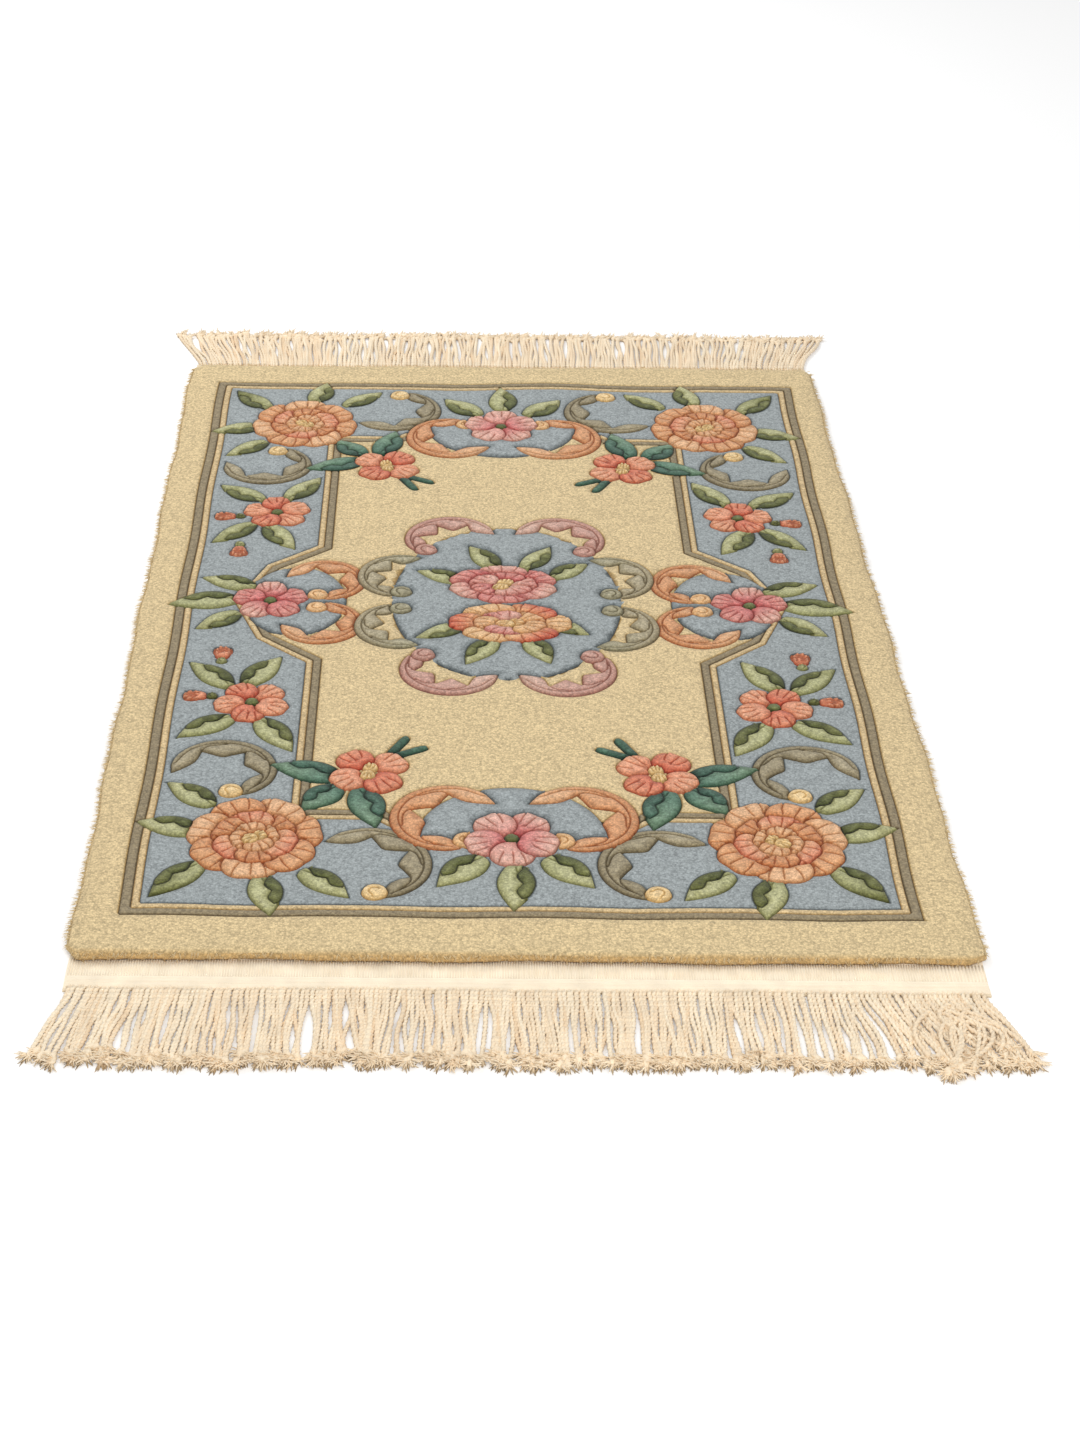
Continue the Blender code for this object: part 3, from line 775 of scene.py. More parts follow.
# A finished piece: moved to the rug's place, riding on the root
def placed(name, mesh, nodes, finish=None):
    points = np.empty(len(mesh.vertices) * 3)
    mesh.vertices.foreach_get("co", points)
    points = points.reshape(-1, 3)
    points[:, 1] += pulled(points[:, 0], points[:, 1])
    mesh.vertices.foreach_set("co", (points + rugMiddle).ravel())
    obj = bpy.data.objects.new(name, mesh)
    bpy.context.scene.collection.objects.link(obj)
    if finish:
        mesh.materials.clear()
        mesh.materials.append(finish)
    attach(obj, "root")
    if nodes:
        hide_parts(*nodes)
    return obj


# Materials
# Short words for building a node tree
class Nodes:
    def __init__(self, tree):
        self.tree = tree

    def add(self, kind, inputs=(), **settings):
        node = self.tree.nodes.new(kind)
        for key, value in settings.items():
            setattr(node, key, value)
        for key, value in dict(inputs).items():
            socket = node.inputs[key]
            if isinstance(value, bpy.types.NodeSocket):
                self.tree.links.new(value, socket)
            else:
                socket.default_value = value
        return node

    def mathOf(self, operation, a, b=0.0, c=0.0):
        return self.add("ShaderNodeMath", {0: a, 1: b, 2: c}, operation=operation).outputs[0]

    def ramp(self, value, low, high, lowOut, highOut):
        return self.add("ShaderNodeMapRange",
                        {"Value": value, "From Min": low, "From Max": high, "To Min": lowOut,
                                               "To Max": highOut}).outputs["Result"]


# The surface of cut wool: rows of tuft ends, clumps between them and a fine nap
def knotGroup():
    tree = bpy.data.node_groups.new("cutWool", "ShaderNodeTree")
    tree.interface.new_socket("Place", in_out="INPUT", socket_type="NodeSocketVector")
    tree.interface.new_socket("Tone", in_out="OUTPUT", socket_type="NodeSocketFloat")
    tree.interface.new_socket("Height", in_out="OUTPUT", socket_type="NodeSocketFloat")
    kit = Nodes(tree)
    place = kit.add("NodeGroupInput").outputs["Place"]
    stray = kit.add("ShaderNodeTexNoise", {"Vector": place, "Scale": 95.0, "Detail": 2.0})
    bent = kit.add("ShaderNodeVectorMath", {0: stray.outputs["Color"], "Scale": 0.0042}, operation="SCALE")
    moved = kit.add("ShaderNodeVectorMath", {0: place, 1: bent.outputs[0]}, operation="ADD").outputs[0]
    tufts = kit.add("ShaderNodeTexVoronoi", {"Vector": moved, "Scale": 400.0, "Randomness": 0.9})
    clumps = kit.add("ShaderNodeTexNoise", {"Vector": place, "Scale": 240.0, "Detail": 3.0, "Roughness": 0.6})
    nap = kit.add("ShaderNodeTexNoise", {"Vector": place, "Scale": 900.0, "Detail": 2.0})
    streak = kit.add("ShaderNodeVectorMath", {0: place, 1: (14.0, 150.0, 1.0)},
                     operation="MULTIPLY").outputs[0]
    rows = kit.add("ShaderNodeTexNoise", {"Vector": streak, "Scale": 1.0, "Detail": 2.0})
    tuftTone = kit.add("ShaderNodeSeparateColor", {"Color": tufts.outputs["Color"]}).outputs[0]
    tone = kit.mathOf("ADD", kit.ramp(tuftTone, 0.0, 1.0, -0.19, 0.19),
                      kit.ramp(clumps.outputs["Fac"], 0.3, 0.7, -0.11, 0.11))
    tone = kit.mathOf("ADD", tone, kit.ramp(rows.outputs["Fac"], 0.3, 0.7, -0.03, 0.03))
    # painted shade between the tufts: each tuft is painted lighter in its middle and darker where it meets
    # its neighbours
    tone = kit.mathOf("ADD", tone, kit.ramp(tufts.outputs["Distance"], 0.1, 0.7, 0.10, -0.22))
    tone = kit.mathOf("ADD", tone, kit.ramp(nap.outputs["Fac"], 0.3, 0.7, -0.06, 0.06))
    tone = kit.mathOf("ADD", tone, 1.0)
    height = kit.mathOf("MULTIPLY", kit.ramp(tufts.outputs["Distance"], 0.0, 0.7, 1.0, 0.0), 0.5)
    height = kit.mathOf("ADD", height, kit.mathOf("MULTIPLY", clumps.outputs["Fac"], 0.9))
    height = kit.mathOf("ADD", height, kit.mathOf("MULTIPLY", nap.outputs["Fac"], 0.28))
    kit.add("NodeGroupOutput", {"Tone": tone, "Height": height})
    return tree


def newMaterial(name):
    material = bpy.data.materials.new(name)
    material.use_nodes = True
    material.node_tree.nodes.clear()
    return material, Nodes(material.node_tree)


def finishWith(kit, colour, normal, roughness, sheen):
    shader = kit.add("ShaderNodeBsdfPrincipled",
                     {"Base Color": colour, "Roughness": roughness, "Normal": normal,
                                                  "Sheen Weight": sheen, "Sheen Roughness": 0.6})
    shader.inputs["Specular IOR Level"].default_value = 0.12
    kit.add("ShaderNodeOutputMaterial", {"Surface": shader.outputs[0]})


def woolMaterial(wool):
    material, kit = newMaterial("wool_pile_dyed_and_shaded")
    place = kit.add("ShaderNodeTexCoord").outputs["Object"]
    surface = kit.add("ShaderNodeGroup", {}, node_tree=wool)
    kit.tree.links.new(place, surface.inputs["Place"])
    yarn = kit.add("ShaderNodeAttribute", {}, attribute_name="yarn").outputs["Color"]
    paintedShading = kit.add("ShaderNodeAttribute", {}, attribute_name="paintedShading").outputs["Fac"]
    # painted shade: deeper in a groove the yarn is painted darker and richer, and the groove's shoulders a
    # little lighter as a painted highlight
    deep = kit.add("ShaderNodeGamma",
                   {"Color": yarn, "Gamma": kit.ramp(paintedShading, 0.0, 1.0, 1.0, 2.0)}).outputs[0]
    tone = kit.mathOf("MULTIPLY", surface.outputs["Tone"], kit.ramp(paintedShading, -0.15, 1.0, 1.03, 0.47))
    colour = kit.add("ShaderNodeVectorMath", {0: deep, "Scale": tone}, operation="SCALE").outputs[0]
    bump = kit.add("ShaderNodeBump",
                   {"Height": surface.outputs["Height"], "Strength": 0.75, "Distance": 0.0011})
    finishWith(kit, colour, bump.outputs[0], 0.95, 0.12)
    return material


wool = knotGroup()
woolPile = woolMaterial(wool)
pile = placed("pile", makePile(), ("rug_body",), woolPile)


# Cotton foundation: the cloth under the pile, bare at both ends
cloth = {"acrossStep": 0.0117, "alongStep": 0.0100, "endStep": 0.0030, "top": 0.0023, "under": 0.0001,
         "waveX": 0.0009,
         "bare": 0.728, "tongue": 0.0036, "ribPitch": 0.0027, "ribFrom": 0.735, "ribSize": 0.0011,
         "wefts": {-1: 8, 1: 2},
         "weftStep": 0.00235, "weftSize": 0.00125}


# How far the cloth's end strays from straight
def clothEdge(x, phase):
    return 0.0011 * math.sin(17 * x + phase) + 0.0005 * math.sin(63 * x + 2 * phase)


def clothHeight(x, y):
    return cloth["top"] + 0.00025 * math.sin(90 * x) * math.sin(260 * y)


def makeCloth():
    halfX = rug["clothHalfWidth"]
    low, high = rug["clothFront"] - cloth["tongue"], rug["clothBack"] + cloth["tongue"]
    xs = np.linspace(-halfX, halfX, round(2 * halfX / cloth["acrossStep"]) + 1)
    middle = np.linspace(-cloth["bare"], cloth["bare"], round(2 * cloth["bare"] / cloth["alongStep"]) + 1)
    ys = np.concatenate([np.arange(low, -cloth["bare"] - 0.001, cloth["endStep"]), middle,
                         np.arange(cloth["bare"] + cloth["endStep"], high + 0.001, cloth["endStep"])])
    columns, rows = len(xs), len(ys)
    verts = []
    for side in (0, 1):
        for y in ys:
            for x in xs:
                near = min(1.0, max(0.0, (abs(y) - cloth["bare"]) / 0.02))
                shift = near * clothEdge(x, 1.0 if y < 0 else 3.3)
                bend = cloth["waveX"] * math.sin(11 * y + (x > 0)) * near
                verts.append((widened(x, y) + bend, y + shift, cloth["under"] if side else clothHeight(x, y)))
    faces = []
    lower = columns * rows
    for j in range(rows - 1):
        for i in range(columns - 1):
            a = j * columns + i
            faces.append((a, a + 1, a + columns + 1, a + columns))
            faces.append((lower + a, lower + a + columns, lower + a + columns + 1, lower + a + 1))
    border = [i for i in range(columns)] + [j * columns + columns - 1 for j in range(1, rows)]
    border += [(rows - 1) * columns + i for i in range(columns - 2, -1,
                                                       -1)] + [j * columns for j in range(rows - 2, 0, -1)]
    for a, b in zip(border, border[1:] + border[:1]):
        faces.append((a, lower + a, lower + b, b))
    mesh = bpy.data.meshes.new("foundation")
    mesh.from_pydata(verts, [], faces)
    # the tongues under the root stitches are in their shade
    shaded = [1.0 if y < rug["clothFront"] + 0.001 or y > rug["clothBack"] - 0.001 else 0.05
              for y in ys for x in xs] * 2
    mesh.attributes.new("tint", "FLOAT", "POINT").data.foreach_set("value", shaded)
    return mesh


# Repeated shapes are set out by two node trees: one sets a template on points, one plies a cord along a route
def geometryTree(name, inputs):
    tree = bpy.data.node_groups.new(name, "GeometryNodeTree")
    for label, kind in (("Routes", "NodeSocketGeometry"),) + inputs:
        tree.interface.new_socket(label, in_out="INPUT", socket_type=kind)
    tree.interface.new_socket("Pieces", in_out="OUTPUT", socket_type="NodeSocketGeometry")
    kit = Nodes(tree)
    return kit, kit.add("NodeGroupInput").outputs


def scatterTree():
    kit, given = geometryTree("setOut", (("Template", "NodeSocketObject"), ("Finish", "NodeSocketMaterial")))
    ahead = kit.add("GeometryNodeInputNamedAttribute", {"Name": "ahead"}, data_type="FLOAT_VECTOR").outputs[0]
    size = kit.add("GeometryNodeInputNamedAttribute", {"Name": "size"}, data_type="FLOAT_VECTOR").outputs[0]
    spin = kit.add("GeometryNodeInputNamedAttribute", {"Name": "spin"}, data_type="FLOAT").outputs[0]
    turn = kit.add("FunctionNodeAlignRotationToVector", {"Vector": ahead}, axis="Y").outputs[0]
    roll = kit.add("FunctionNodeAxisAngleToRotation", {"Axis": (0, 1, 0), "Angle": spin}).outputs[0]
    whole = kit.add("FunctionNodeRotateRotation", {0: turn, 1: roll}, rotation_space="LOCAL").outputs[0]
    shape = kit.add("GeometryNodeObjectInfo", {"Object": given["Template"]}).outputs["Geometry"]
    copies = kit.add("GeometryNodeInstanceOnPoints",
                     {"Points": given["Routes"], "Instance": shape, "Rotation": whole,
                                                      "Scale": size})
    real = kit.add("GeometryNodeRealizeInstances", {"Geometry": copies.outputs[0]})
    dressed = kit.add("GeometryNodeSetMaterial", {"Geometry": real.outputs[0], "Material": given["Finish"]})
    kit.add("NodeGroupOutput", {"Pieces": dressed.outputs[0]})
    return kit.tree


def cordTree():
    kit, given = geometryTree("plyCords", (("Step", "NodeSocketFloat"), ("Turns", "NodeSocketFloat"),
                                           ("Finish", "NodeSocketMaterial")))
    girth = kit.add("GeometryNodeInputNamedAttribute", {"Name": "girth"}, data_type="FLOAT").outputs[0]
    lines = kit.add("GeometryNodeMeshToCurve", {"Mesh": given["Routes"]}).outputs[0]
    even = kit.add("GeometryNodeResampleCurve", {"Curve": lines, "Length": given["Step"]}, mode="LENGTH")
    wide = kit.add("GeometryNodeSetCurveRadius", {"Curve": even.outputs[0], "Radius": girth})
    far = kit.add("GeometryNodeSplineParameter").outputs["Length"]
    twist = kit.add("ShaderNodeMath", {0: far, 1: given["Turns"]}, operation="MULTIPLY").outputs[0]
    tilted = kit.add("GeometryNodeSetCurveTilt", {"Curve": wide.outputs[0], "Tilt": twist})
    ring = kit.add("GeometryNodeCurvePrimitiveCircle", {"Resolution": 10, "Radius": 1.0}).outputs[0]
    place = kit.add("GeometryNodeInputPosition").outputs[0]
    parts = kit.add("ShaderNodeSeparateXYZ", {0: place}).outputs
    lobes = kit.mathOf("SUBTRACT", kit.mathOf("MULTIPLY", parts[0], parts[0]),
                       kit.mathOf("MULTIPLY", parts[1], parts[1]))
    grow = kit.mathOf("MULTIPLY_ADD", lobes, 0.17, 0.92)
    wideRing = kit.add("ShaderNodeVectorMath", {0: place, "Scale": grow}, operation="SCALE").outputs[0]
    profile = kit.add("GeometryNodeSetPosition", {"Geometry": ring, "Position": wideRing}).outputs[0]
    radius = kit.add("GeometryNodeInputRadius").outputs[0]
    tube = kit.add("GeometryNodeCurveToMesh",
                   {"Curve": tilted.outputs[0], "Profile Curve": profile, "Scale": radius,
                                               "Fill Caps": True})
    dressed = kit.add("GeometryNodeSetMaterial", {"Geometry": tube.outputs[0], "Material": given["Finish"]})
    kit.add("NodeGroupOutput", {"Pieces": dressed.outputs[0]})
    return kit.tree


# Points or lines for a node tree, with what it reads of each
def routesMesh(name, verts, edges, **values):
    mesh = bpy.data.meshes.new(name)
    mesh.from_pydata([tuple(v) for v in verts], edges, [])
    for key, rows in values.items():
        flat = np.array(rows, np.float32)
        if flat.ndim == 2:
            mesh.attributes.new(key, "FLOAT_VECTOR", "POINT").data.foreach_set("vector", flat.ravel())
        else:
            mesh.attributes.new(key, "FLOAT", "POINT").data.foreach_set("value", flat)
    return mesh


# The mesh that a node tree makes of a routes mesh
def grown(name, mesh, tree, given):
    source = bpy.data.objects.new(name + "_routes", mesh)
    bpy.context.scene.collection.objects.link(source)
    modifier = source.modifiers.new("made", "NODES")
    modifier.node_group = tree
    for item in tree.interface.items_tree:
        if item.in_out == "INPUT" and item.name in given:
            modifier[item.identifier] = given[item.name]
    source.update_tag()
    depsgraph = bpy.context.evaluated_depsgraph_get()
    made = bpy.data.meshes.new_from_object(source.evaluated_get(depsgraph), depsgraph=depsgraph)
    made.name = name
    source.modifiers.clear()
    bpy.data.objects.remove(source)
    made.polygons.foreach_set("use_smooth", np.ones(len(made.polygons), bool))
    return made


# A small shape for a node tree to copy
def template(name, verts, faces):
    mesh = bpy.data.meshes.new(name)
    mesh.from_pydata(verts, [], faces)
    obj = bpy.data.objects.new(name, mesh)
    bpy.context.scene.collection.objects.link(obj)
    return obj


# Quads between rings of points, with a fan of triangles at each end
def latheFaces(rings, sides):
    faces = []
    for r in range(rings - 1):
        for s in range(sides):
            a, b = r * sides + s, r * sides + (s + 1) % sides
            faces.append((a, b, b + sides, a + sides))
    faces.append(tuple(range(sides))[::-1])
    faces.append(tuple(range((rings - 1) * sides, rings * sides)))
    return faces


# A closed rod along Y; each section is y, half width, half height and middle height
def rodShape(sections, sides):
    verts = []
    for y, wide, high, lift in sections:
        for s in range(sides):
            a = -2 * math.pi * s / sides
            verts.append((wide * math.cos(a), y, lift + high * math.sin(a)))
    return verts, latheFaces(len(sections), sides)


# A lumpy overhand knot, about one unit across
def knotShape():
    verts = []
    for y in (-0.86, -0.55, 0.0, 0.55, 0.86):
        r = math.sqrt(1 - y * y)
        for s in range(8):
            a = -2 * math.pi * s / 8
            lump = 1 + 0.24 * math.sin(2 * a + 3.4 * y)
            verts.append((r * lump * math.cos(a), y, r * lump * math.sin(a)))
    return verts, latheFaces(5, 8)


# A few tapered fibres that open away from one root
def tuftShape(blades, spread, seed):
    rng = random.Random(seed)
    verts, faces = [], []
    for _ in range(blades):
        out, lift = rng.uniform(-spread, spread), rng.uniform(-0.10, 0.35)
        curl, far = rng.uniform(-0.3, 0.3), rng.uniform(0.7, 1.05)
        first = len(verts)
        for t, r in ((0, 0.085), (0.4, 0.10), (0.78, 0.06), (1.0, 0.018)):
            x, z = out * t + curl * t * t, lift * t - 0.12 * t * t
            for s in range(3):
                a = -2 * math.pi * s / 3
                verts.append((x + r * math.cos(a), far * t, z + r * math.sin(a)))
        faces += [tuple(first + i for i in f) for f in latheFaces(4, 3)]
    return verts, faces


# The surface of soft cotton: fine fibres and slow changes of tone
def cottonGroup():
    tree = bpy.data.node_groups.new("softCotton", "ShaderNodeTree")
    tree.interface.new_socket("Place", in_out="INPUT", socket_type="NodeSocketVector")
    tree.interface.new_socket("Tone", in_out="OUTPUT", socket_type="NodeSocketFloat")
    tree.interface.new_socket("Height", in_out="OUTPUT", socket_type="NodeSocketFloat")
    kit = Nodes(tree)
    place = kit.add("NodeGroupInput").outputs["Place"]
    slow = kit.add("ShaderNodeTexNoise", {"Vector": place, "Scale": 38.0, "Detail": 2.0}).outputs["Fac"]
    fine = kit.add("ShaderNodeTexNoise", {"Vector": place, "Scale": 1400.0, "Detail": 3.0}).outputs["Fac"]
    tone = kit.mathOf("ADD", kit.ramp(slow, 0.3, 0.7, 0.93, 1.05), kit.ramp(fine, 0.3, 0.7, -0.05, 0.05))
    kit.add("NodeGroupOutput", {"Tone": tone, "Height": fine})
    return tree


# Cotton whose colour runs from pale to dark with each piece's own tint
def cottonMaterial(name, cotton, pale, dark, bump, low):
    material, kit = newMaterial(name)
    place = kit.add("ShaderNodeTexCoord").outputs["Object"]
    surface = kit.add("ShaderNodeGroup", {}, node_tree=cotton)
    kit.tree.links.new(place, surface.inputs["Place"])
    tint = kit.add("ShaderNodeAttribute", {}, attribute_name="tint").outputs["Fac"]
    mixed = kit.add("ShaderNodeMix", {"Factor": tint}, data_type="RGBA")
    mixed.inputs[6].default_value = (*dye(pale), 1)
    mixed.inputs[7].default_value = (*dye(dark), 1)
    # painted shade: cotton lying low between its neighbours is painted darker and warmer
    high = kit.add("ShaderNodeSeparateXYZ", {0: place}).outputs[2]
    lowShadeColour = kit.add("ShaderNodeGamma",
                   {"Color": mixed.outputs[2],
                    "Gamma": kit.ramp(high, low, low + 0.0028, 1.9, 1.0)}).outputs[0]
    tone = kit.mathOf("MULTIPLY", surface.outputs["Tone"], kit.ramp(high, low, low + 0.0028, 0.50, 1.0))
    colour = kit.add("ShaderNodeVectorMath", {0: lowShadeColour, "Scale": tone}, operation="SCALE").outputs[0]
    normal = kit.add("ShaderNodeBump",
                     {"Height": surface.outputs["Height"], "Strength": bump, "Distance": 0.0004}).outputs[0]
    finishWith(kit, colour, normal, 0.9, 0.15)
    return material


cotton = cottonGroup()
cottonCord = cottonMaterial("cotton_cord", cotton, "cottonPale", "cottonDark", 0.6, 0.0006)
cottonCloth = cottonMaterial("cotton_cloth", cotton, "clothPale", "clothDark", 0.6, -0.001)
plyCords, setOut = cordTree(), scatterTree()
foundation = placed("foundation", makeCloth(), ("rug_body",), cottonCloth)

# Fringe: cords knotted into the cloth's end, bunched by use and knotted again at their tips
fringe = {
    "front": {"side": -1, "node": "fringe_front", "count": 200, "loose": 96, "tufts": 4, "root": 0.7842,
              "reach": 0.109, "splay": 0.024, "seed": 3, "edge": 1.0,
              "gather": ((-0.160, 12, 0.5),), "sweep": (0.29, 0.385, 0.030, 0.80), "tangle": 16},
    "back": {"side": 1, "node": "fringe_back", "count": 200, "loose": 70, "tufts": 2, "root": 0.7532,
             "reach": 0.112, "splay": 0.045, "seed": 8, "edge": 3.3,
             "gather": ((-0.20, 8, 0.4), (0.28, 9, 0.4)), "sweep": (0.40, 0.45, 0.0, 0.0), "tangle": 0},
    "girth": 0.0031, "step": 0.0046, "turns": 380.0, "squash": 0.0012,
}


# How far the cords near one corner have been pushed outwards
def swept(end, x):
    start, full, far, least = end["sweep"]
    rise, fall = (np.clip((x - a) / (b - a), 0, 1) for a, b in ((start, full), (full, 0.47)))
    return far * (rise * rise * (3 - 2 * rise)) * (1 - least * fall)


# Routes of all cords of one end, from root to tip knot, with the place and lean of each tip
def cordRoutes(end):
    rng = random.Random(end["seed"])
    count = end["count"]
    width = rug["clothHalfWidth"] - 0.004
    roots = [-width + 2 * width * (i + 0.5) / count for i in range(count)]
    groups = []
    at = 0
    while at < count:
        size = rng.choice((2, 3, 4, 5, 6))
        pull = rng.uniform(-0.08, 0.25)
        for place, many, strength in end["gather"]:
            near = abs(roots[min(at, count - 1)] - place) < 0.5 * many * (roots[1] - roots[0])
            if near and not any(g[3] == place for g in groups):
                size, pull = many, strength
                groups.append((at, min(at + size, count), pull, place))
                break
        else:
            groups.append((at, min(at + size, count), pull, None))
        at += size
    verts, edges, girths, tints, tips = [], [], [], [], []
    for first, last, pull, place in groups:
        centre = sum(roots[first:last]) / (last - first)
        drift = rng.gauss(0, 0.0018) if place is None else 0.0
        for i in range(first, last):
            x0 = roots[i] + rng.gauss(0, 0.0009)
            splay = end["splay"] * math.copysign(abs(x0 / width) ** 4, x0)
            x1 = x0 + splay + drift + pull * (centre - x0) + rng.gauss(0, 0.0030) + swept(end, x0)
            reach = end["reach"] * rng.uniform(0.92, 1.06)
            wave, phase, turns = rng.uniform(0.0008, 0.0024), rng.uniform(0, 6.28), rng.uniform(0.7, 1.5)
            lift = rng.choice((0.0, 0.0, 0.0010, 0.0020))
            tint = min(1.0, max(0.0, rng.gauss(0.12, 0.14)))
            y0 = end["root"] + clothEdge(x0, end["edge"])
            points = []
            for k in range(15):
                t = k / 14
                ease = t * t * (3 - 2 * t) * 0.6 + t * 0.4
                y = end["side"] * (y0 + reach * t)
                x = x0 + (x1 - x0) * ease + wave * math.sin(phase + 6.28 * turns * t) * min(1, 3 * t)
                x = widened(x, end["side"] * y0)
                z = 0.0021 + lift * math.sin(math.pi * t) + 0.0004 * math.sin(9 * t + phase)
                points.append((x, y, z))
            start = len(verts)
            verts += points
            edges += [(start + k, start + k + 1) for k in range(14)]
            girths += [fringe["girth"] * (1.12 - 0.22 * math.sin(math.pi * min(1, 2.2 * k / 14) / 2))
                       for k in range(15)]
            tints += [tint] * 15
            tips.append((points[-1], np.subtract(points[-1], points[-3]), tint))
    return verts, edges, girths, tints, tips


def makeFringe(name, end):
    verts, edges, girths, tints, tips = cordRoutes(end)
    rng = random.Random(end["seed"] + 100)
    for _ in range(end["loose"]):
        x0 = rng.uniform(-0.97, 0.97) * rug["clothHalfWidth"]
        x1 = x0 + rng.gauss(0, 0.009) + end["splay"] * (x0 / rug["clothHalfWidth"]) ** 5
        reach = end["reach"] * rng.uniform(0.85, 1.04)
        start = len(verts)
        for k in range(15):
            t = k / 14
            x = widened(x0 + (x1 - x0) * t + 0.002 * math.sin(7 * t + x0 * 900) * t, end["side"] * 0.78)
            verts.append((x, end["side"] * (end["root"] + clothEdge(x0, end["edge"]) + reach * t),
                          0.0017 + 0.003 * t * (1 - t)))
        edges += [(start + k, start + k + 1) for k in range(14)]
        girths += [fringe["girth"] * 0.9] * 15
        tints += [rng.uniform(0.1, 0.6)] * 15
        tips.append((verts[-1], np.subtract(verts[-1], verts[-3]), 0.3))
    for _ in range(end["tangle"]):
        x0, y0, turn = rng.uniform(0.405, 0.450), rng.uniform(0.80, 0.83), rng.uniform(-0.5, 1.3)
        reach, bow = rng.uniform(0.05, 0.09), rng.uniform(-0.02, 0.02)
        start = len(verts)
        for k in range(15):
            t = k / 14
            x = x0 + reach * t * math.sin(turn) * 0.6 + bow * math.sin(math.pi * t)
            y = y0 + reach * t * math.cos(turn * 0.7)
            verts.append((widened(x, -0.78), end["side"] * y, 0.0040 + 0.0035 * math.sin(math.pi * t)))
        edges += [(start + k, start + k + 1) for k in range(14)]
        girths += [fringe["girth"] * 0.9] * 15
        tints += [rng.uniform(0.1, 0.4)] * 15
        tips.append((verts[-1], np.subtract(verts[-1], verts[-3]), 0.3))
    cords = grown("cords", routesMesh("cords", verts, edges, girth=girths, tint=tints), plyCords,
                  {"Step": fringe["step"], "Turns": fringe["turns"], "Finish": cottonCord})
    pieces = [placed("fringe_cords_" + name, settled(cords), (end["node"],))]
    knots = {"places": [], "ahead": [], "size": [], "spin": [], "tint": []}
    tufts = {"places": [], "ahead": [], "size": [], "spin": [], "tint": []}
    for place, ahead, tint in tips:
        ahead = ahead / np.linalg.norm(ahead)
        s = rng.uniform(0.9, 1.3)
        addTo(knots, np.array(place) + ahead * 0.001, ahead, (0.0041 * s, 0.0048 * s, 0.0030 * s),
              rng.uniform(-0.5, 0.5),
              0.5 * tint + rng.uniform(0.0, 0.15))
        for _ in range(end["tufts"]):
            out = ahead + np.array((rng.gauss(0, 0.7), 0, rng.uniform(0.0, 0.25)))
            long = rng.uniform(0.008, 0.017)
            addTo(tufts, np.array(place) + ahead * 0.001, out, (0.0170, long, 0.0150), rng.uniform(-0.6, 0.6),
                  0.5 * tint + rng.uniform(0.0, 0.12))
    for kind, rows, shape in (("knots", knots, knotTemplate), ("tips", tufts, tuftTemplate)):
        places = rows.pop("places")
        mesh = grown(kind, routesMesh(kind, places, [], **rows), setOut,
                     {"Template": shape, "Finish": cottonCord})
        pieces.append(placed("fringe_" + kind + "_" + name, settled(mesh), (end["node"],)))
    stitches = {"places": [], "ahead": [], "size": [], "spin": [], "tint": []}
    for i in range(0, end["count"] * 15, 15):
        x, y, z = verts[i]
        addTo(stitches, (x, y - end["side"] * 0.0008, 0.0004), (0, end["side"], 0),
              (0.00155 * rng.uniform(0.9, 1.06), 0.0028,
              0.0032 * rng.uniform(0.9, 1.1)), rng.uniform(-0.08, 0.08), rng.uniform(0, 0.3))
    places = stitches.pop("places")
    mesh = grown("stitches", routesMesh("stitches", places, [], **stitches), setOut,
                 {"Template": stitchTemplate, "Finish": cottonCord})
    pieces.append(placed("root_stitches_" + name, settled(mesh), (end["node"],)))
    return pieces


# What would sink into the floor is pressed flat upon it
def settled(mesh):
    points = np.empty(len(mesh.vertices) * 3)
    mesh.vertices.foreach_get("co", points)
    high, least = points[2::3], fringe["squash"]
    points[2::3] = np.where(high < least, least * np.exp((high - least) / (2.5 * least)), high)
    mesh.vertices.foreach_set("co", points)
    return mesh


def addTo(rows, place, ahead, size, spin, tint):
    for key, value in (("places", place), ("ahead", ahead), ("size", size), ("spin", spin), ("tint", tint)):
        rows[key].append(tuple(value) if key in ("places", "ahead", "size") else value)


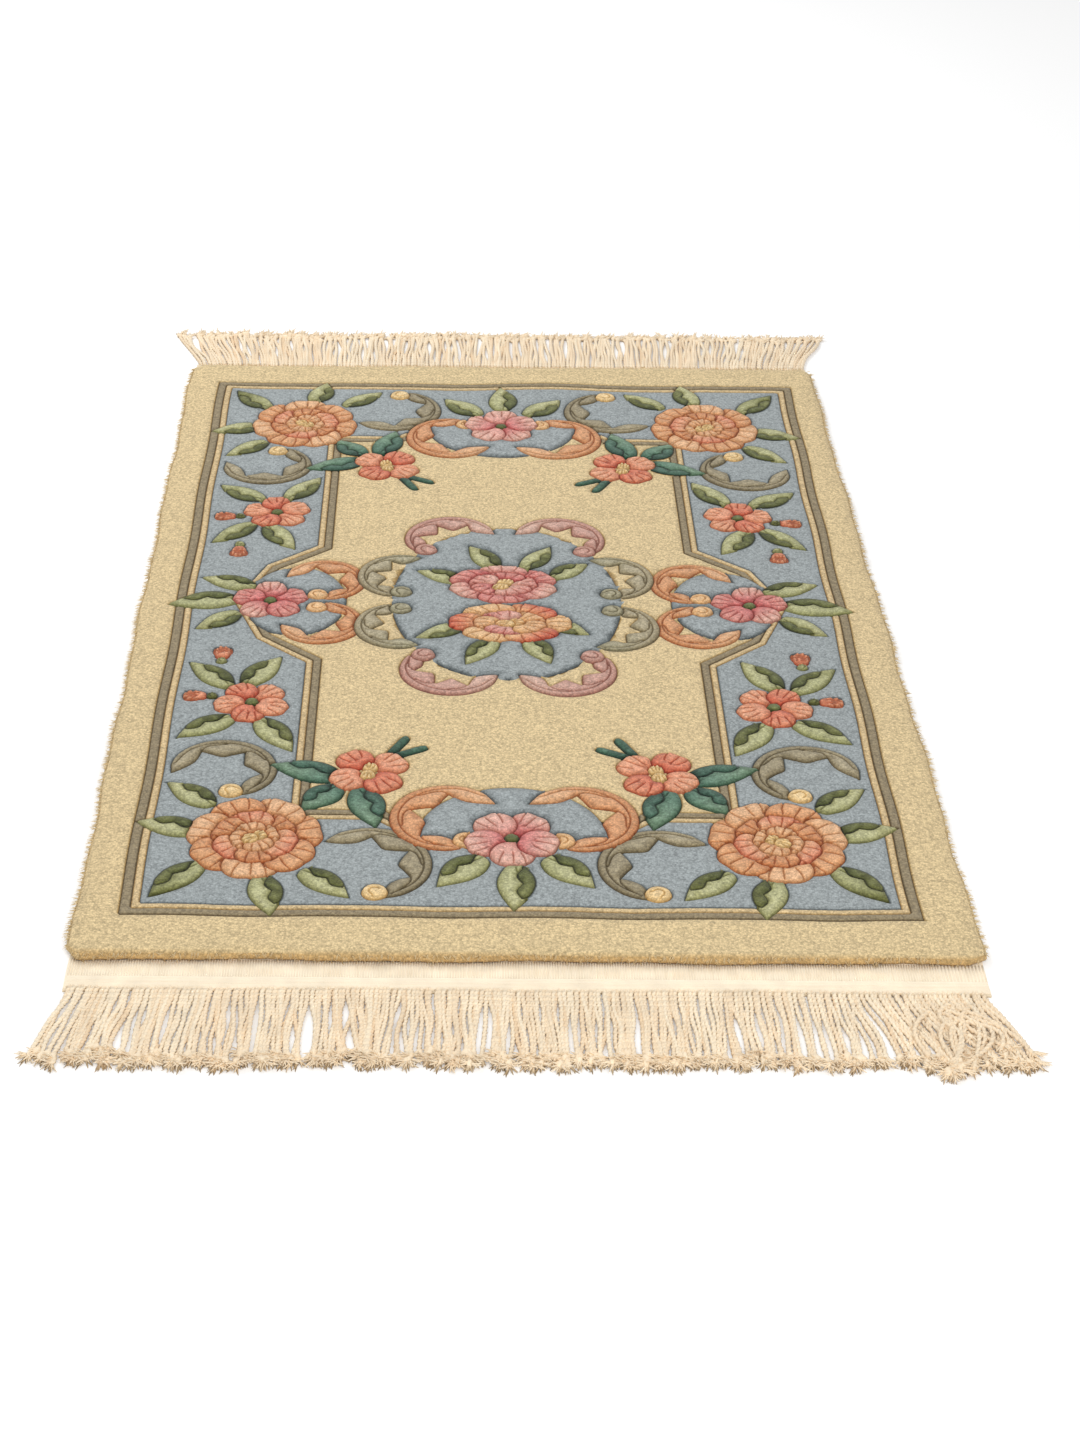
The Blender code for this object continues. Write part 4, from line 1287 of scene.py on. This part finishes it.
# The flat-woven end: ribs by the pile, then a few wefts across
def makeEnd(name, side):
    edge = 1.0 if side < 0 else 3.3
    rng = random.Random(21 + side)
    ribs = {"places": [], "ahead": [], "size": [], "spin": [], "tint": []}
    end = rug["clothFront"] if side < 0 else rug["clothBack"]
    weftFrom = abs(end) - cloth["weftStep"] * (cloth["wefts"][side] - 0.2)
    long = (weftFrom - 0.0007 - cloth["ribFrom"]) / 2
    for x in np.arange(-rug["clothHalfWidth"] + 0.002, rug["clothHalfWidth"] - 0.001, cloth["ribPitch"]):
        addTo(ribs, (widened(x, side * 0.75), side * (cloth["ribFrom"] + long), cloth["top"] - 0.0002),
              (0, side, 0),
              (cloth["ribSize"] * rng.uniform(0.9, 1.1), long, cloth["ribSize"]), 0.0, rng.uniform(0.1, 0.5))
    places = ribs.pop("places")
    mesh = grown("ribs", routesMesh("ribs", places, [], **ribs), setOut,
                 {"Template": ribTemplate, "Finish": cottonCloth})
    pieces = [placed("kilim_ribs_" + name, mesh, ("rug_body",), )]
    verts, edges, girths, tints = [], [], [], []
    for row in range(cloth["wefts"][side]):
        start = len(verts)
        xs = np.linspace(-rug["clothHalfWidth"] + 0.001, rug["clothHalfWidth"] - 0.001, 120)
        phase = rng.uniform(0, 6)
        for x in xs:
            y = weftFrom + cloth["weftStep"] * row + clothEdge(x, edge) * row / cloth["wefts"][side]
            verts.append((widened(x, side * y), side * (y + 0.0002 * math.sin(40 * x + phase)), cloth["top"]))
        edges += [(k, k + 1) for k in range(start, len(verts) - 1)]
        girths += [cloth["weftSize"]] * len(xs)
        tints += [rng.uniform(0.0, 0.22)] * len(xs)
    mesh = grown("wefts", routesMesh("wefts", verts, edges, girth=girths, tint=tints), plyCords,
                 {"Step": 0.0075, "Turns": 0.0, "Finish": cottonCloth})
    pieces.append(placed("kilim_wefts_" + name, mesh, ("rug_body",)))
    return pieces


# Ends of pile that lean out over the rug's edge
def makeRimTufts():
    rng = random.Random(5)
    rim = figures[0]["loop"]
    out = normalsOf(rim, True)
    rows = {"places": [], "ahead": [], "size": [], "spin": [], "tint": []}
    for i in range(len(rim)):
        for _ in range(rimTufts["perPoint"]):
            t = rng.random()
            place = rim[i] * (1 - t) + rim[(i + 1) % len(rim)] * t
            high = rng.uniform(*rimTufts["height"])
            n = out[i]
            ahead = (n[0] + rng.gauss(0, 0.35), n[1] + rng.gauss(0, 0.35), rng.uniform(-0.5, 0.25))
            size = rng.uniform(*rimTufts["length"])
            # painted shade: tufts lower down, and those on the front and back edges, get a tint nearer the
            # darker hair colour
            addTo(rows, (*place, high), ahead, (0.0048, size, 0.0036), rng.uniform(-1, 1),
                  min(1,
                      max(0, 0.95 - high / 0.0125 + rng.gauss(0, 0.12))) * (0.9 if abs(n[1]) > 0.7 else 0.1))
    places = rows.pop("places")
    mesh = grown("rim", routesMesh("rim", places, [], **rows), setOut,
                 {"Template": hairTemplate, "Finish": woolHair})
    return placed("pile_rim_tufts", settled(mesh), ("rug_body",))


rimTufts = {"perPoint": 2, "height": (0.0052, 0.0122), "length": (0.0052, 0.0092)}
hairTemplate = template("hair_template", *tuftShape(2, 0.7, 9))
ribTemplate = template("rib_template", *rodShape(((-1, 0.9, 0.7, 0), (0, 1, 1, 0), (1, 0.9, 0.7, 0)), 6))
# the hair runs from beige to the pile side's painted shade colour
woolHair = cottonMaterial("wool_hair", cotton, "beige", "shadedPileSide", 0.5, 0.001)
knotTemplate = template("knot_template", *knotShape())
tuftTemplate = template("tuft_template", *tuftShape(5, 0.5, 4))
stitchTemplate = template("stitch_template",
                          *rodShape(((-1, 0.7, 0.5, 0.45), (-0.6, 1, 0.9, 0.5), (0.6, 1, 0.95, 0.5),
                                                         (1, 0.75, 0.6, 0.5)), 8))
trimmings = makeFringe("front", fringe["front"]) + makeFringe("back", fringe["back"])
trimmings += makeEnd("front", -1) + makeEnd("back", 1) + [makeRimTufts()]
for obj in (knotTemplate, tuftTemplate, stitchTemplate, hairTemplate, ribTemplate):
    bpy.data.objects.remove(obj)
print("fringe made", flush=True)


# Stage, light and camera
def makeStage():
    mesh = bpy.data.meshes.new("floor")
    mesh.from_pydata([(-9, -9, 0), (9, -9, 0), (9, 14, 0), (-9, 14, 0)], [], [(0, 1, 2, 3)])
    floor = bpy.data.objects.new("floor", mesh)
    bpy.context.scene.collection.objects.link(floor)
    material, kit = newMaterial("white_floor")
    matt = kit.add("ShaderNodeBsdfDiffuse", {"Color": (0.93, 0.93, 0.93, 1)}).outputs[0]
    glow = kit.add("ShaderNodeEmission",
                   {"Color": (1, 1, 1, 1), "Strength": lighting["floorGlow"]}).outputs[0]
    kit.add("ShaderNodeOutputMaterial",
            {"Surface": kit.add("ShaderNodeAddShader", {0: matt, 1: glow}).outputs[0]})
    mesh.materials.append(material)
    world = bpy.data.worlds.new("studio")
    world.use_nodes = True
    world.node_tree.nodes["Background"].inputs["Color"].default_value = (1, 1, 1, 1)
    world.node_tree.nodes["Background"].inputs["Strength"].default_value = lighting["world"]
    bpy.context.scene.world = world
    for name, place, aim, size, power in lighting["lamps"]:
        light = bpy.data.lights.new(name, "AREA")
        light.size, light.energy = size, power
        lamp = bpy.data.objects.new(name, light)
        lamp.location = place
        lamp.rotation_euler = (Vector(aim) - Vector(place)).to_track_quat("-Z", "Y").to_euler()
        bpy.context.scene.collection.objects.link(lamp)
    bpy.context.scene.view_settings.view_transform = "Standard"


lighting = {"world": 0.66, "floorGlow": 0.12, "lamps": (("key", (-1.6, 2.2, 2.4), (0, 0, 0), 1.6, 53),
                                                         ("fill", (0.6, -2.9, 1.9), (0, -0.3, 0), 2.4, 48))}
camera = {"place": (-0.07944, -2.90503, 1.6333), "pitch": 0.55182, "yaw": 0.04076, "roll": 0.03221,
          "lens": 65.475}


def makeCamera():
    data = bpy.data.cameras.new("camera")
    data.lens = camera["lens"]
    data.clip_end = 60
    obj = bpy.data.objects.new("camera", data)
    bpy.context.scene.collection.objects.link(obj)
    pitch, yaw, roll = camera["pitch"], camera["yaw"], camera["roll"]
    ahead = Vector((math.sin(yaw) * math.cos(pitch), math.cos(yaw) * math.cos(pitch), -math.sin(pitch)))
    right = Vector((math.cos(yaw), -math.sin(yaw), 0))
    up = right.cross(ahead)
    turnedRight = right * math.cos(roll) + up * math.sin(roll)
    turnedUp = up * math.cos(roll) - right * math.sin(roll)
    turn = Matrix((turnedRight, turnedUp, -ahead)).transposed()
    obj.matrix_world = Matrix.Translation(Vector(camera["place"]) + rugMiddle) @ turn.to_4x4()
    bpy.context.scene.camera = obj


makeStage()
makeCamera()

print("scene finished", flush=True)
